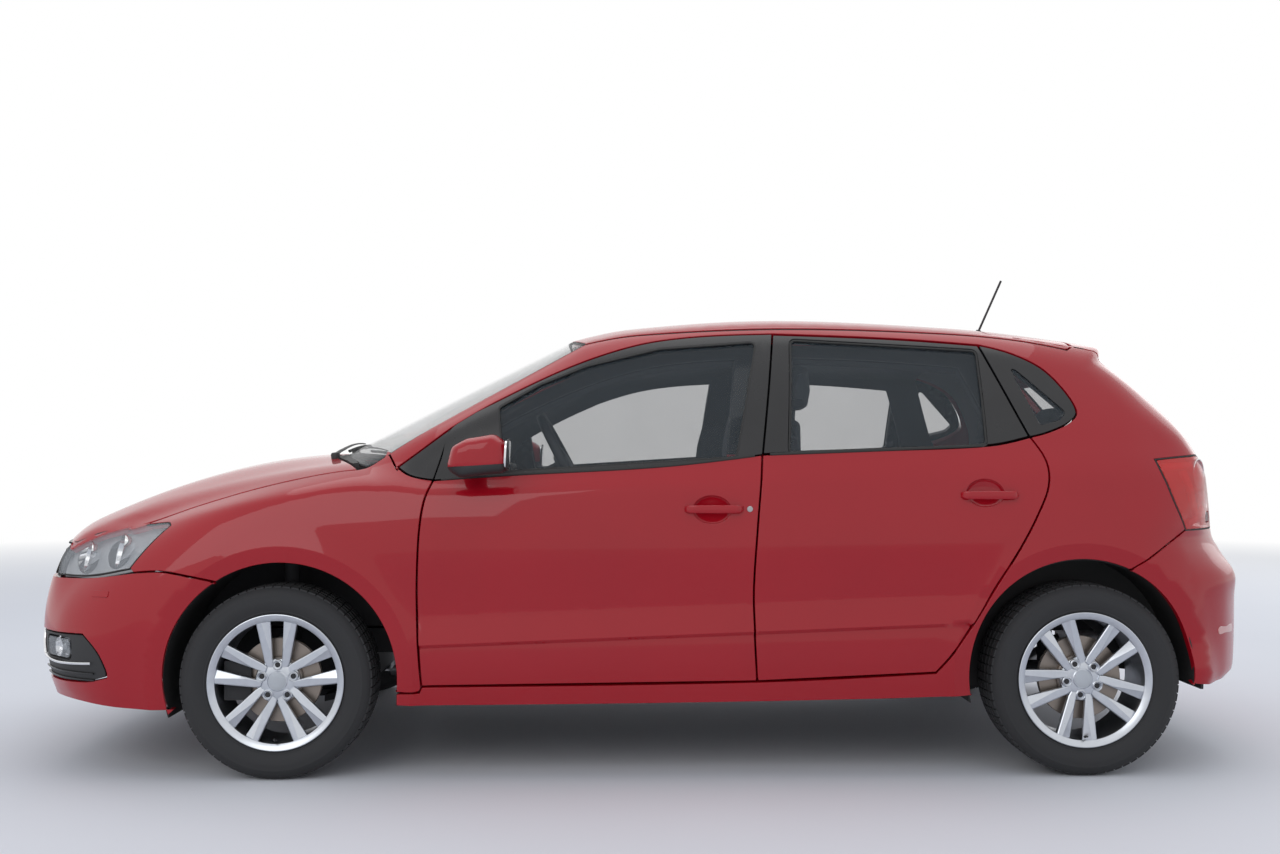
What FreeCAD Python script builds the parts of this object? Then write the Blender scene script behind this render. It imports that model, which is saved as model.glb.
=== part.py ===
"""A five-door hatchback car as separate panels, glass, running gear and cabin pieces.

Millimetres, +Z up, nose towards -X, the car's left side towards -Y.
The origin is on the ground, midway between the two bumpers.
"""
import FreeCAD, Part
import math
import os
from collections import namedtuple

from FreeCAD import Vector

doc = FreeCAD.newDocument("Hatchback")

# Driving dimensions: alias, value in millimetres or degrees
DIMENSIONS = (
    ("LengthOverall", 3972),
    ("BodyWidth", 1682),
    ("FrontAxleX", -1126),
    ("RearAxleX", 1344),
    ("HubHeight", 294),
    ("FrontTrack", 1462),
    ("RearTrack", 1456),
    ("TyreRadius", 294),
    ("TyreWidth", 185),
    ("RimRadius", 200),
    ("RimFlangeRadius", 207),
    ("RimWidth", 166),
    ("HubBoreRadius", 28.5),
    ("BoltCircleRadius", 50),
    ("BoltHoleRadius", 7),
    ("SpokeCount", 10),
    ("KingpinInset", 70),
    ("DiscRadius", 128),
    ("DiscThickness", 22),
    ("WellRadius", 365),
    ("WellInnerY", 460),
    ("FrontArchX", -1110),
    ("FrontArchZ", 305),
    ("FrontArchRadius", 350),
    ("RearArchX", 1330),
    ("RearArchZ", 317),
    ("RearArchRadius", 345),
    ("ArchLipY", 808),
    ("FloorBottom", 226),
    ("FloorTop", 262),
    ("DoorHingeY", 824),
    ("DoorShear", 0.35),
    ("ShutGap", 7),
    ("GlassThickness", 5),
    ("PillarOuterY", 694),
    ("SteeringWheelRadius", 185),
    ("SteeringRimRadius", 15),
    ("DriverY", -365),
    ("MirrorOuterY", 948),
    ("AntennaRadius", 4),
)
sheet = doc.addObject("Spreadsheet::Sheet", "Sizes")
for row_number, (alias, value) in enumerate(DIMENSIONS, start=1):
    cell = "B{}".format(row_number)
    sheet.set("A{}".format(row_number), alias)
    sheet.set(cell, str(value))
    sheet.setAlias(cell, alias)
doc.recompute()


def size(alias):
    """The value of one driving dimension."""
    return float(sheet.get(alias))


HALF_LENGTH = size("LengthOverall") / 2
HALF_WIDTH = size("BodyWidth") / 2
HUB_Z = size("HubHeight")
GAP = size("ShutGap")
SUB_PARTS = []


def publish(label, shape_or_object):
    """Add one finished sub-part to the document under its own label."""
    if isinstance(shape_or_object, Part.Shape):
        part = doc.addObject("Part::Feature", label)
        part.Shape = shape_or_object
    else:
        part = shape_or_object
    part.Label = label
    SUB_PARTS.append(part)
    return part


def keep_largest(shape):
    """The largest solid of a cut shape, for panels that leave offcuts."""
    return max(shape.Solids, key=lambda solid: solid.Volume)


def solid_or_compound(shape):
    """One solid alone, or a compound of the several solids of a shape."""
    solids = [solid for solid in shape.Solids if solid.Volume > 500.0]
    if len(solids) == 1:
        return solids[0]
    return Part.makeCompound(solids)


def both_sides(shape):
    """A shape of the left side and its mirror image on the right."""
    return shape, shape.mirror(Vector(0, 0, 0), Vector(0, 1, 0))


def box(x0, x1, y0, y1, z0, z1):
    """An upright box between two corners."""
    return Part.makeBox(x1 - x0, y1 - y0, z1 - z0, Vector(x0, y0, z0))


def rod(start, end, radius):
    """A round bar between two points."""
    a = Vector(*start)
    b = Vector(*end)
    return Part.makeCylinder(radius, (b - a).Length, a, b - a)


def side_prism(outline, y0, y1, shear=0.0):
    """A prism whose outline is drawn in side view (x, z) at y0 and swept to y1.

    The shear moves the sweep forward by that much for each unit towards +Y.
    """
    points = [Vector(x, y0, z) for x, z in outline]
    face = Part.Face(Part.makePolygon(points + points[:1]))
    depth = y1 - y0
    return face.extrude(Vector(-shear * abs(depth), depth, 0))


def grown(outline, margin):
    """An outline of (x, y) corners with every side moved outwards by a margin."""
    area = sum(a[0] * b[1] - b[0] * a[1] for a, b in zip(outline, outline[1:] + outline[:1]))
    outwards = margin if area > 0 else -margin
    moved = []
    for before, corner, after in zip(outline[-1:] + outline[:-1], outline, outline[1:] + outline[:1]):
        first = Vector(corner[0] - before[0], corner[1] - before[1], 0).normalize()
        second = Vector(after[0] - corner[0], after[1] - corner[1], 0).normalize()
        normal = Vector(first.y + second.y, -first.x - second.x, 0)
        reach = outwards / (normal.normalize().dot(Vector(second.y, -second.x, 0)))
        moved.append((corner[0] + normal.x * reach, corner[1] + normal.y * reach))
    return moved


def plan_prism(outline, z0, z1):
    """A prism whose outline is drawn from above (x, y)."""
    points = [Vector(x, y, z0) for x, y in outline]
    face = Part.Face(Part.makePolygon(points + points[:1]))
    return face.extrude(Vector(0, 0, z1 - z0))


def end_prism(outline, x0, x1):
    """A prism whose outline is drawn from the front or rear (y, z)."""
    points = [Vector(x0, y, z) for y, z in outline]
    face = Part.Face(Part.makePolygon(points + points[:1]))
    return face.extrude(Vector(x1 - x0, 0, 0))


# Lengthwise sections of the hull: each column is a point (x, z) of the side view
LengthRow = namedtuple("LengthRow", "y lip front brow bonnet cowl screen header dome crown quarter "
                       "spoiler under glass belt panel ledge step bumper tail floor")
LENGTH_ROWS = (
    LengthRow(0, (-1948, 222), (-1988.6, 430), (-1935, 738), (-1560, 902), (-1040, 990),
              (-668, 1182), (-262, 1384), (-60, 1427), (450, 1458), (1030, 1434), (1595, 1362),
              (1573, 1322), (1702, 1190), (1845, 1037), (1903, 900), (1922, 745), (1940, 702),
              (1984, 500), (1976, 310), (1890, 238)),
    LengthRow(350, (-1932, 222), (-1971, 430), (-1908, 734), (-1545, 886), (-1008, 984),
              (-645, 1172), (-248, 1370), (-50, 1412), (450, 1443), (1020, 1419), (1565, 1352),
              (1543, 1312), (1678, 1188), (1822, 1037), (1884, 900), (1905, 742), (1924, 698),
              (1971, 500), (1962, 308), (1872, 238)),
    LengthRow(560, (-1885, 222), (-1930, 430), (-1850, 718), (-1500, 850), (-930, 970),
              (-590, 1146), (-200, 1344), (-20, 1378), (450, 1404), (990, 1384), (1500, 1322),
              (1480, 1290), (1622, 1182), (1768, 1036), (1830, 900), (1848, 738), (1868, 690),
              (1922, 500), (1915, 305), (1825, 238)),
    LengthRow(700, (-1775, 222), (-1835, 430), (-1720, 655), (-1400, 826), (-875, 950),
              (-560, 1110), (-160, 1290), (10, 1318), (450, 1340), (950, 1325), (1400, 1270),
              (1385, 1245), (1520, 1165), (1700, 1030), (1765, 900), (1760, 735), (1775, 685),
              (1835, 500), (1828, 302), (1740, 238)),
    LengthRow(790, (-1640, 222), (-1700, 430), (-1600, 640), (-1350, 800), (-830, 930),
              (-540, 1060), (-150, 1200), (0, 1230), (450, 1250), (900, 1240), (1300, 1200),
              (1290, 1180), (1420, 1120), (1600, 1010), (1665, 900), (1650, 735), (1665, 685),
              (1715, 500), (1708, 300), (1620, 238)),
    LengthRow(870, (-1450, 222), (-1500, 430), (-1430, 620), (-1250, 770), (-800, 900),
              (-520, 1000), (-150, 1100), (0, 1130), (450, 1150), (900, 1140), (1200, 1100),
              (1190, 1080), (1300, 1040), (1450, 990), (1500, 900), (1490, 735), (1500, 685),
              (1545, 500), (1538, 298), (1450, 238)),
)

# Crosswise sections of the hull's sides: each column is a point (y, z) of the end view
CrossRow = namedtuple("CrossRow", "x sill crease bulge wide shoulder belt middle rail")
CROSS_ROWS = (
    CrossRow(-2010, (800, 195), (822, 420), (826, 520), (828, 620), (800, 700), (700, 760),
             (560, 880), (400, 1020)),
    CrossRow(-1640, (806, 200), (828, 420), (832, 520), (834, 620), (790, 735), (650, 782),
             (540, 890), (400, 1030)),
    CrossRow(-1400, (812, 205), (834, 415), (837, 520), (839, 650), (800, 800), (686, 852),
             (580, 945), (430, 1070)),
    CrossRow(-1126, (815, 212), (838, 410), (839, 520), (841, 670), (812, 850), (704, 922),
             (600, 1010), (450, 1120)),
    CrossRow(-871, (816, 216), (838, 408), (838, 520), (841, 680), (815, 880), (722, 968),
             (640, 1080), (520, 1230)),
    CrossRow(-640, (816, 220), (838, 408), (836, 510), (841, 690), (824, 860), (786, 906),
             (690, 1110), (570, 1300)),
    CrossRow(0, (816, 225), (838, 420), (836, 520), (841, 690), (826, 870), (790, 948),
             (706, 1160), (588, 1362)),
    CrossRow(640, (816, 232), (838, 436), (836, 535), (841, 700), (826, 890), (788, 994),
             (704, 1180), (588, 1372)),
    CrossRow(1180, (814, 238), (838, 450), (838, 550), (841, 710), (820, 900), (764, 1030),
             (690, 1180), (600, 1335)),
    CrossRow(1500, (806, 240), (830, 440), (835, 550), (836, 700), (805, 900), (738, 1040),
             (655, 1180), (560, 1310)),
    CrossRow(1700, (790, 240), (812, 430), (818, 550), (816, 680), (782, 870), (715, 1010),
             (625, 1160), (520, 1290)),
    CrossRow(2010, (760, 240), (780, 420), (785, 540), (780, 660), (740, 840), (660, 980),
             (570, 1120), (470, 1250)),
)
CAP_Z = 1560
CHORDS_PER_ARC = 3


def chord_wire(runs):
    """A closed wire of straight chords: each run is a line, or an arc through its middle point."""
    points = []
    for run in runs:
        if len(run) == 2:
            points.append(run[0])
        else:
            points.extend(Part.Arc(*run).toShape().discretize(CHORDS_PER_ARC + 1)[:-1])
    return Part.makePolygon(points + points[:1])


def length_wire(row, y):
    """One closed side-view section of the hull, standing at the given y."""
    def at(point):
        return Vector(point[0], y, point[1])

    floor_front = (row.lip[0] + 60, 212)
    runs = (
        (floor_front, row.lip),
        (row.lip, row.front, row.brow),
        (row.brow, row.bonnet, row.cowl),
        (row.cowl, row.screen, row.header),
        (row.header, row.dome, row.crown),
        (row.crown, row.quarter, row.spoiler),
        (row.spoiler, row.under),
        (row.under, row.glass, row.belt),
        (row.belt, row.panel, row.ledge),
        (row.ledge, row.step),
        (row.step, row.bumper, row.tail),
        (row.tail, row.floor),
        (row.floor, floor_front),
    )
    return chord_wire([[at(point) for point in run] for run in runs])


def cross_wire(row, inset_low=0.0, inset_high=0.0):
    """One closed end-view section of the sides, moved in below and above the belt."""
    def at(point, sign, inset):
        return Vector(row.x, sign * (point[0] - inset), point[1])

    low = inset_low
    high = inset_high
    cap = (row.rail[0] - 160, CAP_Z)
    half = (
        ((row.sill, low), (row.crease, low)),
        ((row.crease, low), (row.bulge, low), (row.wide, low)),
        ((row.wide, low), (row.shoulder, low)),
        ((row.shoulder, low), (row.belt, high)),
        ((row.belt, high), (row.middle, high), (row.rail, high)),
        ((row.rail, high), (cap, high)),
    )
    runs = [[at(point, -1, inset) for point, inset in run] for run in half]
    runs.append([at(cap, -1, high), at(cap, 1, high)])
    runs.extend([at(point, 1, inset) for point, inset in reversed(run)] for run in reversed(half))
    runs.append([at(row.sill, 1, low), at(row.sill, -1, low)])
    return chord_wire(runs)


def length_loft():
    """The hull's shape from bumper to bumper, as wide as the widest section."""
    left = [length_wire(row, -row.y) for row in reversed(LENGTH_ROWS)]
    right = [length_wire(row, row.y) for row in LENGTH_ROWS[1:]]
    return Part.makeLoft(left + right, True, True)


def cross_loft(inset_low=0.0, inset_high=0.0):
    """The hull's shape from side to side, as long as the car."""
    return Part.makeLoft([cross_wire(row, inset_low, inset_high) for row in CROSS_ROWS], True, True)


LENGTH_FORM = length_loft()
SIDE_FORM = cross_loft()
HULL = LENGTH_FORM.common(SIDE_FORM)


def shifted(shape, dx, dy, dz):
    """A copy of a shape moved along."""
    copy = shape.copy()
    copy.translate(Vector(dx, dy, dz))
    return copy


FAR = 2100
TOP_Z = 1600
LEFT_HALF = box(-FAR, FAR, -1000, 0, 150, TOP_Z)

# Hollows of the body: the cabin with its boot, and the engine bay open to the road
CABIN_FRONT_X = -770
CABIN_REAR_X = 1868
DOOR_DEPTH_LOW = 88
DOOR_DEPTH_HIGH = 32
ROOF_DEPTH = 36
GATE_DEPTH = 58
BAY_SKIN = 42
BAY_NOSE = 95
BAY_LID = 30
inner_sides = cross_loft(DOOR_DEPTH_LOW, DOOR_DEPTH_HIGH)
cabin_box = box(CABIN_FRONT_X, CABIN_REAR_X, -900, 900, size("FloorTop"), TOP_Z)
CABIN = shifted(LENGTH_FORM, 0, 0, -ROOF_DEPTH).common(cabin_box)
CABIN = CABIN.common(shifted(LENGTH_FORM, -GATE_DEPTH, 0, 0)).common(inner_sides)
bay_box = box(-1900, CABIN_FRONT_X - 14, -900, 900, 150, TOP_Z)
BAY = shifted(LENGTH_FORM, BAY_NOSE, 0, -BAY_LID).fuse(box(-1800, -700, -600, 600, 150, 400))
BAY = BAY.common(bay_box).common(cross_loft(BAY_SKIN, BAY_SKIN).fuse(box(-1900, -700, -600, 600, 150, 400)))


HOUSE_WALL = 8
HOUSE_OUTER_Y = 790
HOUSE_LOW_Z = 262


def wheel_cut(axle_x, arch_x, arch_z, arch_radius):
    """The left wheel's clear space: room for its liner, the well, and the smaller arch through the skin."""
    inner_y = -size("WellInnerY") + HOUSE_WALL
    liner = rod((axle_x, -HOUSE_OUTER_Y, HUB_Z), (axle_x, inner_y, HUB_Z), size("WellRadius") + HOUSE_WALL)
    well = rod((axle_x, -size("ArchLipY"), HUB_Z), (axle_x, -HOUSE_OUTER_Y, HUB_Z), size("WellRadius"))
    arch = rod((arch_x, -900, arch_z), (arch_x, -size("ArchLipY"), arch_z), arch_radius)
    return liner.fuse(well).fuse(arch)


def wheel_house(axle_x, inner_wall_z):
    """The left wheel's liner: a half barrel with an inner wall that stops above the axle."""
    inner_y = -size("WellInnerY")
    radius = size("WellRadius")
    barrel = rod((axle_x, -HOUSE_OUTER_Y, HUB_Z), (axle_x, inner_y + HOUSE_WALL, HUB_Z), radius + HOUSE_WALL)
    barrel = barrel.cut(rod((axle_x, -900, HUB_Z), (axle_x, 0, HUB_Z), radius))
    barrel = barrel.common(box(axle_x - 400, axle_x + 400, -900, 0, HOUSE_LOW_Z, 900))
    wall = rod((axle_x, inner_y, HUB_Z), (axle_x, inner_y + HOUSE_WALL, HUB_Z), radius + HOUSE_WALL / 2)
    return barrel.fuse(wall.common(box(axle_x - 400, axle_x + 400, -900, 0, inner_wall_z, 900)))


FRONT_WELL = wheel_cut(size("FrontAxleX"), size("FrontArchX"), size("FrontArchZ"), size("FrontArchRadius"))
REAR_WELL = wheel_cut(size("RearAxleX"), size("RearArchX"), size("RearArchZ"), size("RearArchRadius"))
FRONT_WELLS = FRONT_WELL.fuse(both_sides(FRONT_WELL)[1])
REAR_WELLS = REAR_WELL.fuse(both_sides(REAR_WELL)[1])

# Shut lines of the doors, as points (x, y, z) on the left side's skin with y taken outwards
PILLAR_LINE = ((411, 585, 1377), (356, 790, 985), (349, 800, 907), (334, 825, 744), (324, 836, 582),
               (327, 836, 420), (334, 820, 296))
FRONT_DOOR_EDGE = ((-683, 812, 284), (-692, 830, 407), (-697, 830, 544), (-695, 836, 665),
                   (-689, 825, 770), (-678, 815, 842), (-655, 800, 907), (-636, 780, 975),
                   (-612, 710, 1068), (-468, 640, 1155), (-203, 600, 1280), (47, 587, 1353))
REAR_DOOR_EDGE = ((792, 590, 1362), (1078, 600, 1341), (1150, 700, 1150), (1194, 760, 1044),
                  (1226, 775, 985), (1236, 785, 939), (1228, 800, 878), (1194, 820, 803),
                  (1144, 830, 712), (1073, 836, 599), (1019, 836, 509), (967, 832, 433),
                  (922, 825, 371), (879, 815, 321))
SKIN_PLANE_Y = 850
FRAME_INNER_Y = 470


def sheared(points):
    """Side-view points on the plane outside the skin, so that the sheared sweep meets the skin on them."""
    return [(x + size("DoorShear") * (SKIN_PLANE_Y - y), z) for x, y, z in points]


def door_prism(outline, grow):
    """The left door's sweep from outside its skin to the inside of its frame."""
    points = [Vector(x, -SKIN_PLANE_Y, z) for x, z in outline]
    face = Part.Face(Part.makePolygon(points + points[:1]))
    face = Part.Face(face.makeOffset2D(grow, 2).OuterWire)
    depth = SKIN_PLANE_Y - FRAME_INNER_Y
    return face.extrude(Vector(-size("DoorShear") * depth, depth, 0))


FRONT_DOOR_OUTLINE = sheared(FRONT_DOOR_EDGE + PILLAR_LINE)
REAR_DOOR_OUTLINE = sheared(tuple(reversed(PILLAR_LINE)) + REAR_DOOR_EDGE)

# Glass openings in side view
FRONT_GLASS = ((-440, 934), (277, 978), (356, 1350), (45, 1326), (-190, 1268), (-337, 1208), (-465, 1134))
REAR_GLASS = ((439, 990), (1053, 1016), (1066, 1321), (468, 1356))
QUARTER_GLASS = ((1160, 1280), (1322, 1118), (1300, 1096), (1236, 1080), (1228, 1100))

# Plan outlines of the top panels, left half, as points (x, y) with y taken outwards
BONNET_SIDE = ((-2010, 558), (-1852, 558), (-1840, 592), (-1637, 640), (-1427, 680), (-1214, 700),
               (-987, 710), (-884, 714))
COWL_LINE = ((-872, 700), (-925, 600), (-1005, 350), (-1034, 0))
SCREEN_SIDE = ((-878, 686), (-775, 672), (-602, 638), (-340, 590), (-196, 556))
HEADER_LINE = ((-196, 556), (-246, 350), (-262, 0))
ROOF_SIDE_Y = 556
ROOF_REAR_X = 1412


def mirrored_outline(half):
    """A closed outline from its left half, listed from the middle or outer end to the middle."""
    left = [(x, -y) for x, y in half]
    right = [(x, y) for x, y in reversed(half) if y > 0]
    return left + right


BONNET_REAR = ((-897, 702), (-955, 600), (-1050, 350), (-1085, 0))
bonnet_half = BONNET_SIDE[:-1] + ((-898, 714),) + BONNET_REAR
screen_half = tuple(reversed(COWL_LINE)) + SCREEN_SIDE[1:] + HEADER_LINE[1:]
roof_half = tuple(reversed(HEADER_LINE)) + ((ROOF_REAR_X - GAP, ROOF_SIDE_Y - 30), (ROOF_REAR_X - GAP, 0))

# Zones cut from the hull in side view
BUMPER_FRONT_ZONE = ((-FAR, 150), (-1330, 150), (-1330, 601), (-1468, 628), (-1580, 623), (-1720, 602),
                     (-FAR, 602))
LAMP_ZONE = ((-FAR, 602), (-1720, 602), (-1580, 623), (-1566, 630), (-1456, 752), (-1474, 792),
             (-1640, 850), (-FAR, 850))
NOSE_ZONE_TOP = 742
BUMPER_REAR_ZONE = ((1500, 150), (1500, 640), (1655, 748), (FAR, 748), (FAR, 150))
TAIL_LAMP_ZONE = ((1584, 972), (1725, 985), (FAR, 985), (FAR, 752), (1700, 752), (1634, 862))
GATE_OUTLINE = ((0, 752), (598, 752), (604, 841), (642, 939), (604, 1032), (590, 1098), (560, 1184),
                (522, 1295), (516, 1420), (0, 1500))
REAR_GLASS_OUTLINE = ((0, 1046), (556, 1048), (552, 1098), (522, 1184), (488, 1280), (0, 1296))


def gate_prism(outline, grow, x0):
    """A sweep along the car of a rear-view outline (y, z) given as its left half."""
    left = [(-y, z) for y, z in outline]
    right = [(y, z) for y, z in reversed(outline) if y > 0]
    points = [Vector(x0, y, z) for y, z in left + right]
    face = Part.Face(Part.makePolygon(points + points[:1]))
    if grow:
        face = Part.Face(face.makeOffset2D(grow, 2).OuterWire)
    return face.extrude(Vector(FAR - x0, 0, 0))


HULL_LEFT = HULL.common(LEFT_HALF)
SCREEN_THICKNESS = 6
PANEL_DEPTH = 24

# Bonnet, windscreen and roof are cut downwards from the hull's top
bonnet_shape = HULL.common(plan_prism(mirrored_outline(bonnet_half), NOSE_ZONE_TOP, TOP_Z))
bonnet_shape = bonnet_shape.cut(shifted(HULL, 14, 0, -PANEL_DEPTH))
screen_prism = plan_prism(mirrored_outline(screen_half), 700, TOP_Z)
screen_shape = HULL.common(screen_prism).cut(shifted(HULL, 3, 0, -SCREEN_THICKNESS))
roof_prism = plan_prism(mirrored_outline(roof_half), 1100, TOP_Z)
roof_shape = HULL.common(roof_prism).cut(shifted(HULL, 0, 0, -PANEL_DEPTH))
publish("bonnet", keep_largest(bonnet_shape))
publish("windscreen", keep_largest(screen_shape))
publish("roof_panel", keep_largest(roof_shape))

# Doors: the hull between its skin and the cabin's wall, with the window cut through
HALF_GAP = GAP / 2
FRONT_DOOR_CUT = door_prism(FRONT_DOOR_OUTLINE, HALF_GAP)
REAR_DOOR_CUT = door_prism(REAR_DOOR_OUTLINE, HALF_GAP)


def door_shapes(outline, glass_outline):
    """A left door and its glass pane."""
    leaf = HULL_LEFT.common(door_prism(outline, -HALF_GAP)).cut(inner_sides)
    opening = side_prism(glass_outline, -900, -450)
    pane = leaf.common(opening)
    pane = pane.cut(shifted(pane, 0, size("GlassThickness"), 0))
    return keep_largest(leaf.cut(opening)), keep_largest(pane)


front_door, front_pane = door_shapes(FRONT_DOOR_OUTLINE, FRONT_GLASS)
rear_door, rear_pane = door_shapes(REAR_DOOR_OUTLINE, REAR_GLASS)
for side, index in (("left", 0), ("right", 1)):
    publish("door_front_" + side, both_sides(front_door)[index])
    publish("door_glass_front_" + side, both_sides(front_pane)[index])
    publish("door_rear_" + side, both_sides(rear_door)[index])
    publish("door_glass_rear_" + side, both_sides(rear_pane)[index])

# Tailgate with its window
gate_body = HULL.common(gate_prism(GATE_OUTLINE, 0, ROOF_REAR_X)).cut(CABIN)
gate_body = gate_body.cut(shifted(LENGTH_FORM, -GATE_DEPTH, 0, -ROOF_DEPTH))
rear_opening = gate_prism(REAR_GLASS_OUTLINE, 0, 1480)
rear_window = HULL.common(rear_opening).cut(shifted(HULL, -4, 0, -3))
publish("tailgate", keep_largest(gate_body.cut(rear_opening)))
publish("rear_window", keep_largest(rear_window))

# Outer shell pieces of the left half, taken one after the other from what is left of the hull
GATE_CUT = gate_prism(GATE_OUTLINE, GAP, ROOF_REAR_X - GAP)
BONNET_CUT = plan_prism(grown(mirrored_outline(bonnet_half), GAP), NOSE_ZONE_TOP - GAP, TOP_Z)
TOP_CUT = screen_prism.fuse(roof_prism)
FRONT_HOUSE = wheel_house(size("FrontAxleX"), 420)
REAR_HOUSE = wheel_house(size("RearAxleX"), 400)
shell = HULL_LEFT.cut(CABIN).cut(BAY)
shell = shell.cut(FRONT_WELL).cut(REAR_WELL)
shell = shell.cut(BONNET_CUT).cut(TOP_CUT).cut(GATE_CUT).cut(FRONT_DOOR_CUT).cut(REAR_DOOR_CUT)


def take(zone):
    """Cut a zone out of the left shell and return what was inside it."""
    global shell
    piece = shell.common(zone)
    shell = shell.cut(zone)
    return piece


def whole(left):
    """A left half joined to its mirror image across the middle of the car."""
    return left.fuse(both_sides(left)[1]).removeSplitter()


def pair(left):
    """A left piece and its mirror image as two solids of one node."""
    return solid_or_compound(Part.makeCompound(both_sides(left)))


GRILLE_BOTTOM = 602
LAMP_INNER_Y = 560
fog_zone = side_prism(((-FAR, 283), (-1622, 283), (-1631, 329), (-1654, 386), (-1700, 437), (-FAR, 430)), -FAR, 0)
lower_grille = keep_largest(take(fog_zone))
front_bumper = keep_largest(take(side_prism(BUMPER_FRONT_ZONE, -FAR, 0)))
grille = keep_largest(take(box(-FAR, -1700, -LAMP_INNER_Y, 0, GRILLE_BOTTOM, NOSE_ZONE_TOP)))
head_lamp = keep_largest(take(side_prism(LAMP_ZONE, -FAR, -LAMP_INNER_Y)))
fender_zone = side_prism(((-1680, 262), (-820, 262), (-700 - 60, 262), (-640, 262), (-560, 700), (-640, 1090),
                          (-690, 1010), (-900, 985), (-1680, 985)), -FAR, -620)
fender = keep_largest(take(fender_zone))
rear_bumper = keep_largest(take(side_prism(BUMPER_REAR_ZONE, -FAR, 0)))
rear_bumper = keep_largest(rear_bumper.cut(box(1480, 1880, -650, 1, 150, size("FloorTop") + 1)))
tail_lamp = keep_largest(take(side_prism(TAIL_LAMP_ZONE, -FAR, -400)))
quarter_zone = side_prism(QUARTER_GLASS, -900, -450)
quarter_block = take(quarter_zone)
quarter_pane = keep_largest(quarter_block.cut(shifted(quarter_block, 0, size("GlassThickness"), 0)))

publish("front_bumper", whole(front_bumper))
publish("grille", whole(grille))
publish("lower_grille", whole(lower_grille))
publish("head_lamps", pair(head_lamp))
publish("tail_lamps", pair(tail_lamp))
publish("rear_bumper", whole(rear_bumper))
publish("quarter_windows", pair(quarter_pane))
publish("fender_left", fender)
publish("fender_right", both_sides(fender)[1])

# Floor pan, firewall and wheel houses
FIREWALL_X = CABIN_FRONT_X - 14
FIREWALL_TOP = 925
REAR_FLOOR_X = 940
REAR_FLOOR_Z = 400
open_rear = box(REAR_FLOOR_X + 14, FAR, -730, 0, 150, size("FloorTop"))
shell = shell.cut(open_rear)
floor_zone = box(FIREWALL_X - 1, REAR_FLOOR_X + 14, -640, 0, 150, size("FloorTop"))
firewall_zone = box(FIREWALL_X - 1, CABIN_FRONT_X + 1, -640, 0, 150, FIREWALL_TOP)
take(floor_zone.fuse(firewall_zone))
floor_left = HULL_LEFT.common(floor_zone.fuse(firewall_zone))
rear_floor = box(REAR_FLOOR_X, REAR_FLOOR_X + 14, -640, 0, size("FloorTop"), REAR_FLOOR_Z + 14)
rear_floor = rear_floor.fuse(box(REAR_FLOOR_X, CABIN_REAR_X, -458, 0, REAR_FLOOR_Z, REAR_FLOOR_Z + 14))
rear_floor = rear_floor.fuse(box(1700, CABIN_REAR_X, -640, 0, REAR_FLOOR_Z, REAR_FLOOR_Z + 14))
floor_left = floor_left.fuse(rear_floor)
for axle_x in (size("FrontAxleX"), size("RearAxleX")):
    house_middle = rod((axle_x, -900, HUB_Z), (axle_x, -size("WellInnerY") + HOUSE_WALL / 2, HUB_Z),
                       size("WellRadius") + HOUSE_WALL / 2)
    floor_left = floor_left.cut(house_middle)
floor_left = floor_left.fuse(FRONT_HOUSE).fuse(REAR_HOUSE)
floor_left = keep_largest(floor_left.cut(fender).cut(rear_bumper))
floor_pan = floor_left.fuse(both_sides(floor_left)[1])
publish("floor_pan", floor_pan)

# Body sides: sill, quarter panel, roof rail and the pillars inboard of the doors
pillar_y = size("PillarOuterY")
SILL_TOP = 278
inner_sill = box(FIREWALL_X, 985, -738, -640, size("FloorTop"), SILL_TOP)
hinge_pillar = box(FIREWALL_X, -690, -pillar_y, -644, SILL_TOP, 905)
JACK_X = (-600, 800)
for jack_x in JACK_X:
    pad = box(jack_x - 30, jack_x + 30, -720, -680, 206, size("FloorTop")).cut(floor_pan)
    inner_sill = inner_sill.fuse(keep_largest(pad))
B_PILLAR_X = (312, 400)
centre_pillar = end_prism(((-pillar_y, SILL_TOP), (-pillar_y, 950), (-542, 1372), (-500, 1372), (-650, 940),
                           (-650, SILL_TOP)), *B_PILLAR_X)
body_left = keep_largest(shell)
body_left = body_left.fuse(inner_sill.cut(floor_pan)).fuse(hinge_pillar.cut(floor_pan)).fuse(centre_pillar)
body_left = keep_largest(body_left.cut(fender))
publish("body_side_left", body_left)
publish("body_side_right", both_sides(body_left)[1])

# Cowl below the windscreen: a strip in the hull's surface over a drain trough
COWL_FRONT = ((-890, 694), (-947, 596), (-1042, 346), (-1077, 0))
cowl_plan = [(x, -y) for x, y in COWL_FRONT] + [(x, y) for x, y in reversed(COWL_FRONT) if y > 0]
cowl_plan += [(x, y) for x, y in COWL_LINE] + [(x, -y) for x, y in reversed(COWL_LINE) if y > 0]
cowl_strip = HULL.common(plan_prism(cowl_plan, 800, TOP_Z)).cut(shifted(HULL, 0, 0, -16))
trough = box(-1090, FIREWALL_X, -600, 600, 900, 908).fuse(box(-1070, -1060, -330, 330, 908, 990))
trough = trough.common(shifted(HULL, 0, 0, -15.5)).common(box(-1090, -700, -600, 600, 800, 990))
cowl = cowl_strip.fuse(trough)
for neighbour in (bonnet_shape, floor_pan, body_left, both_sides(body_left)[1], fender, both_sides(fender)[1]):
    cowl = cowl.cut(neighbour)
cowl = keep_largest(cowl)
publish("cowl", cowl)

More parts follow.
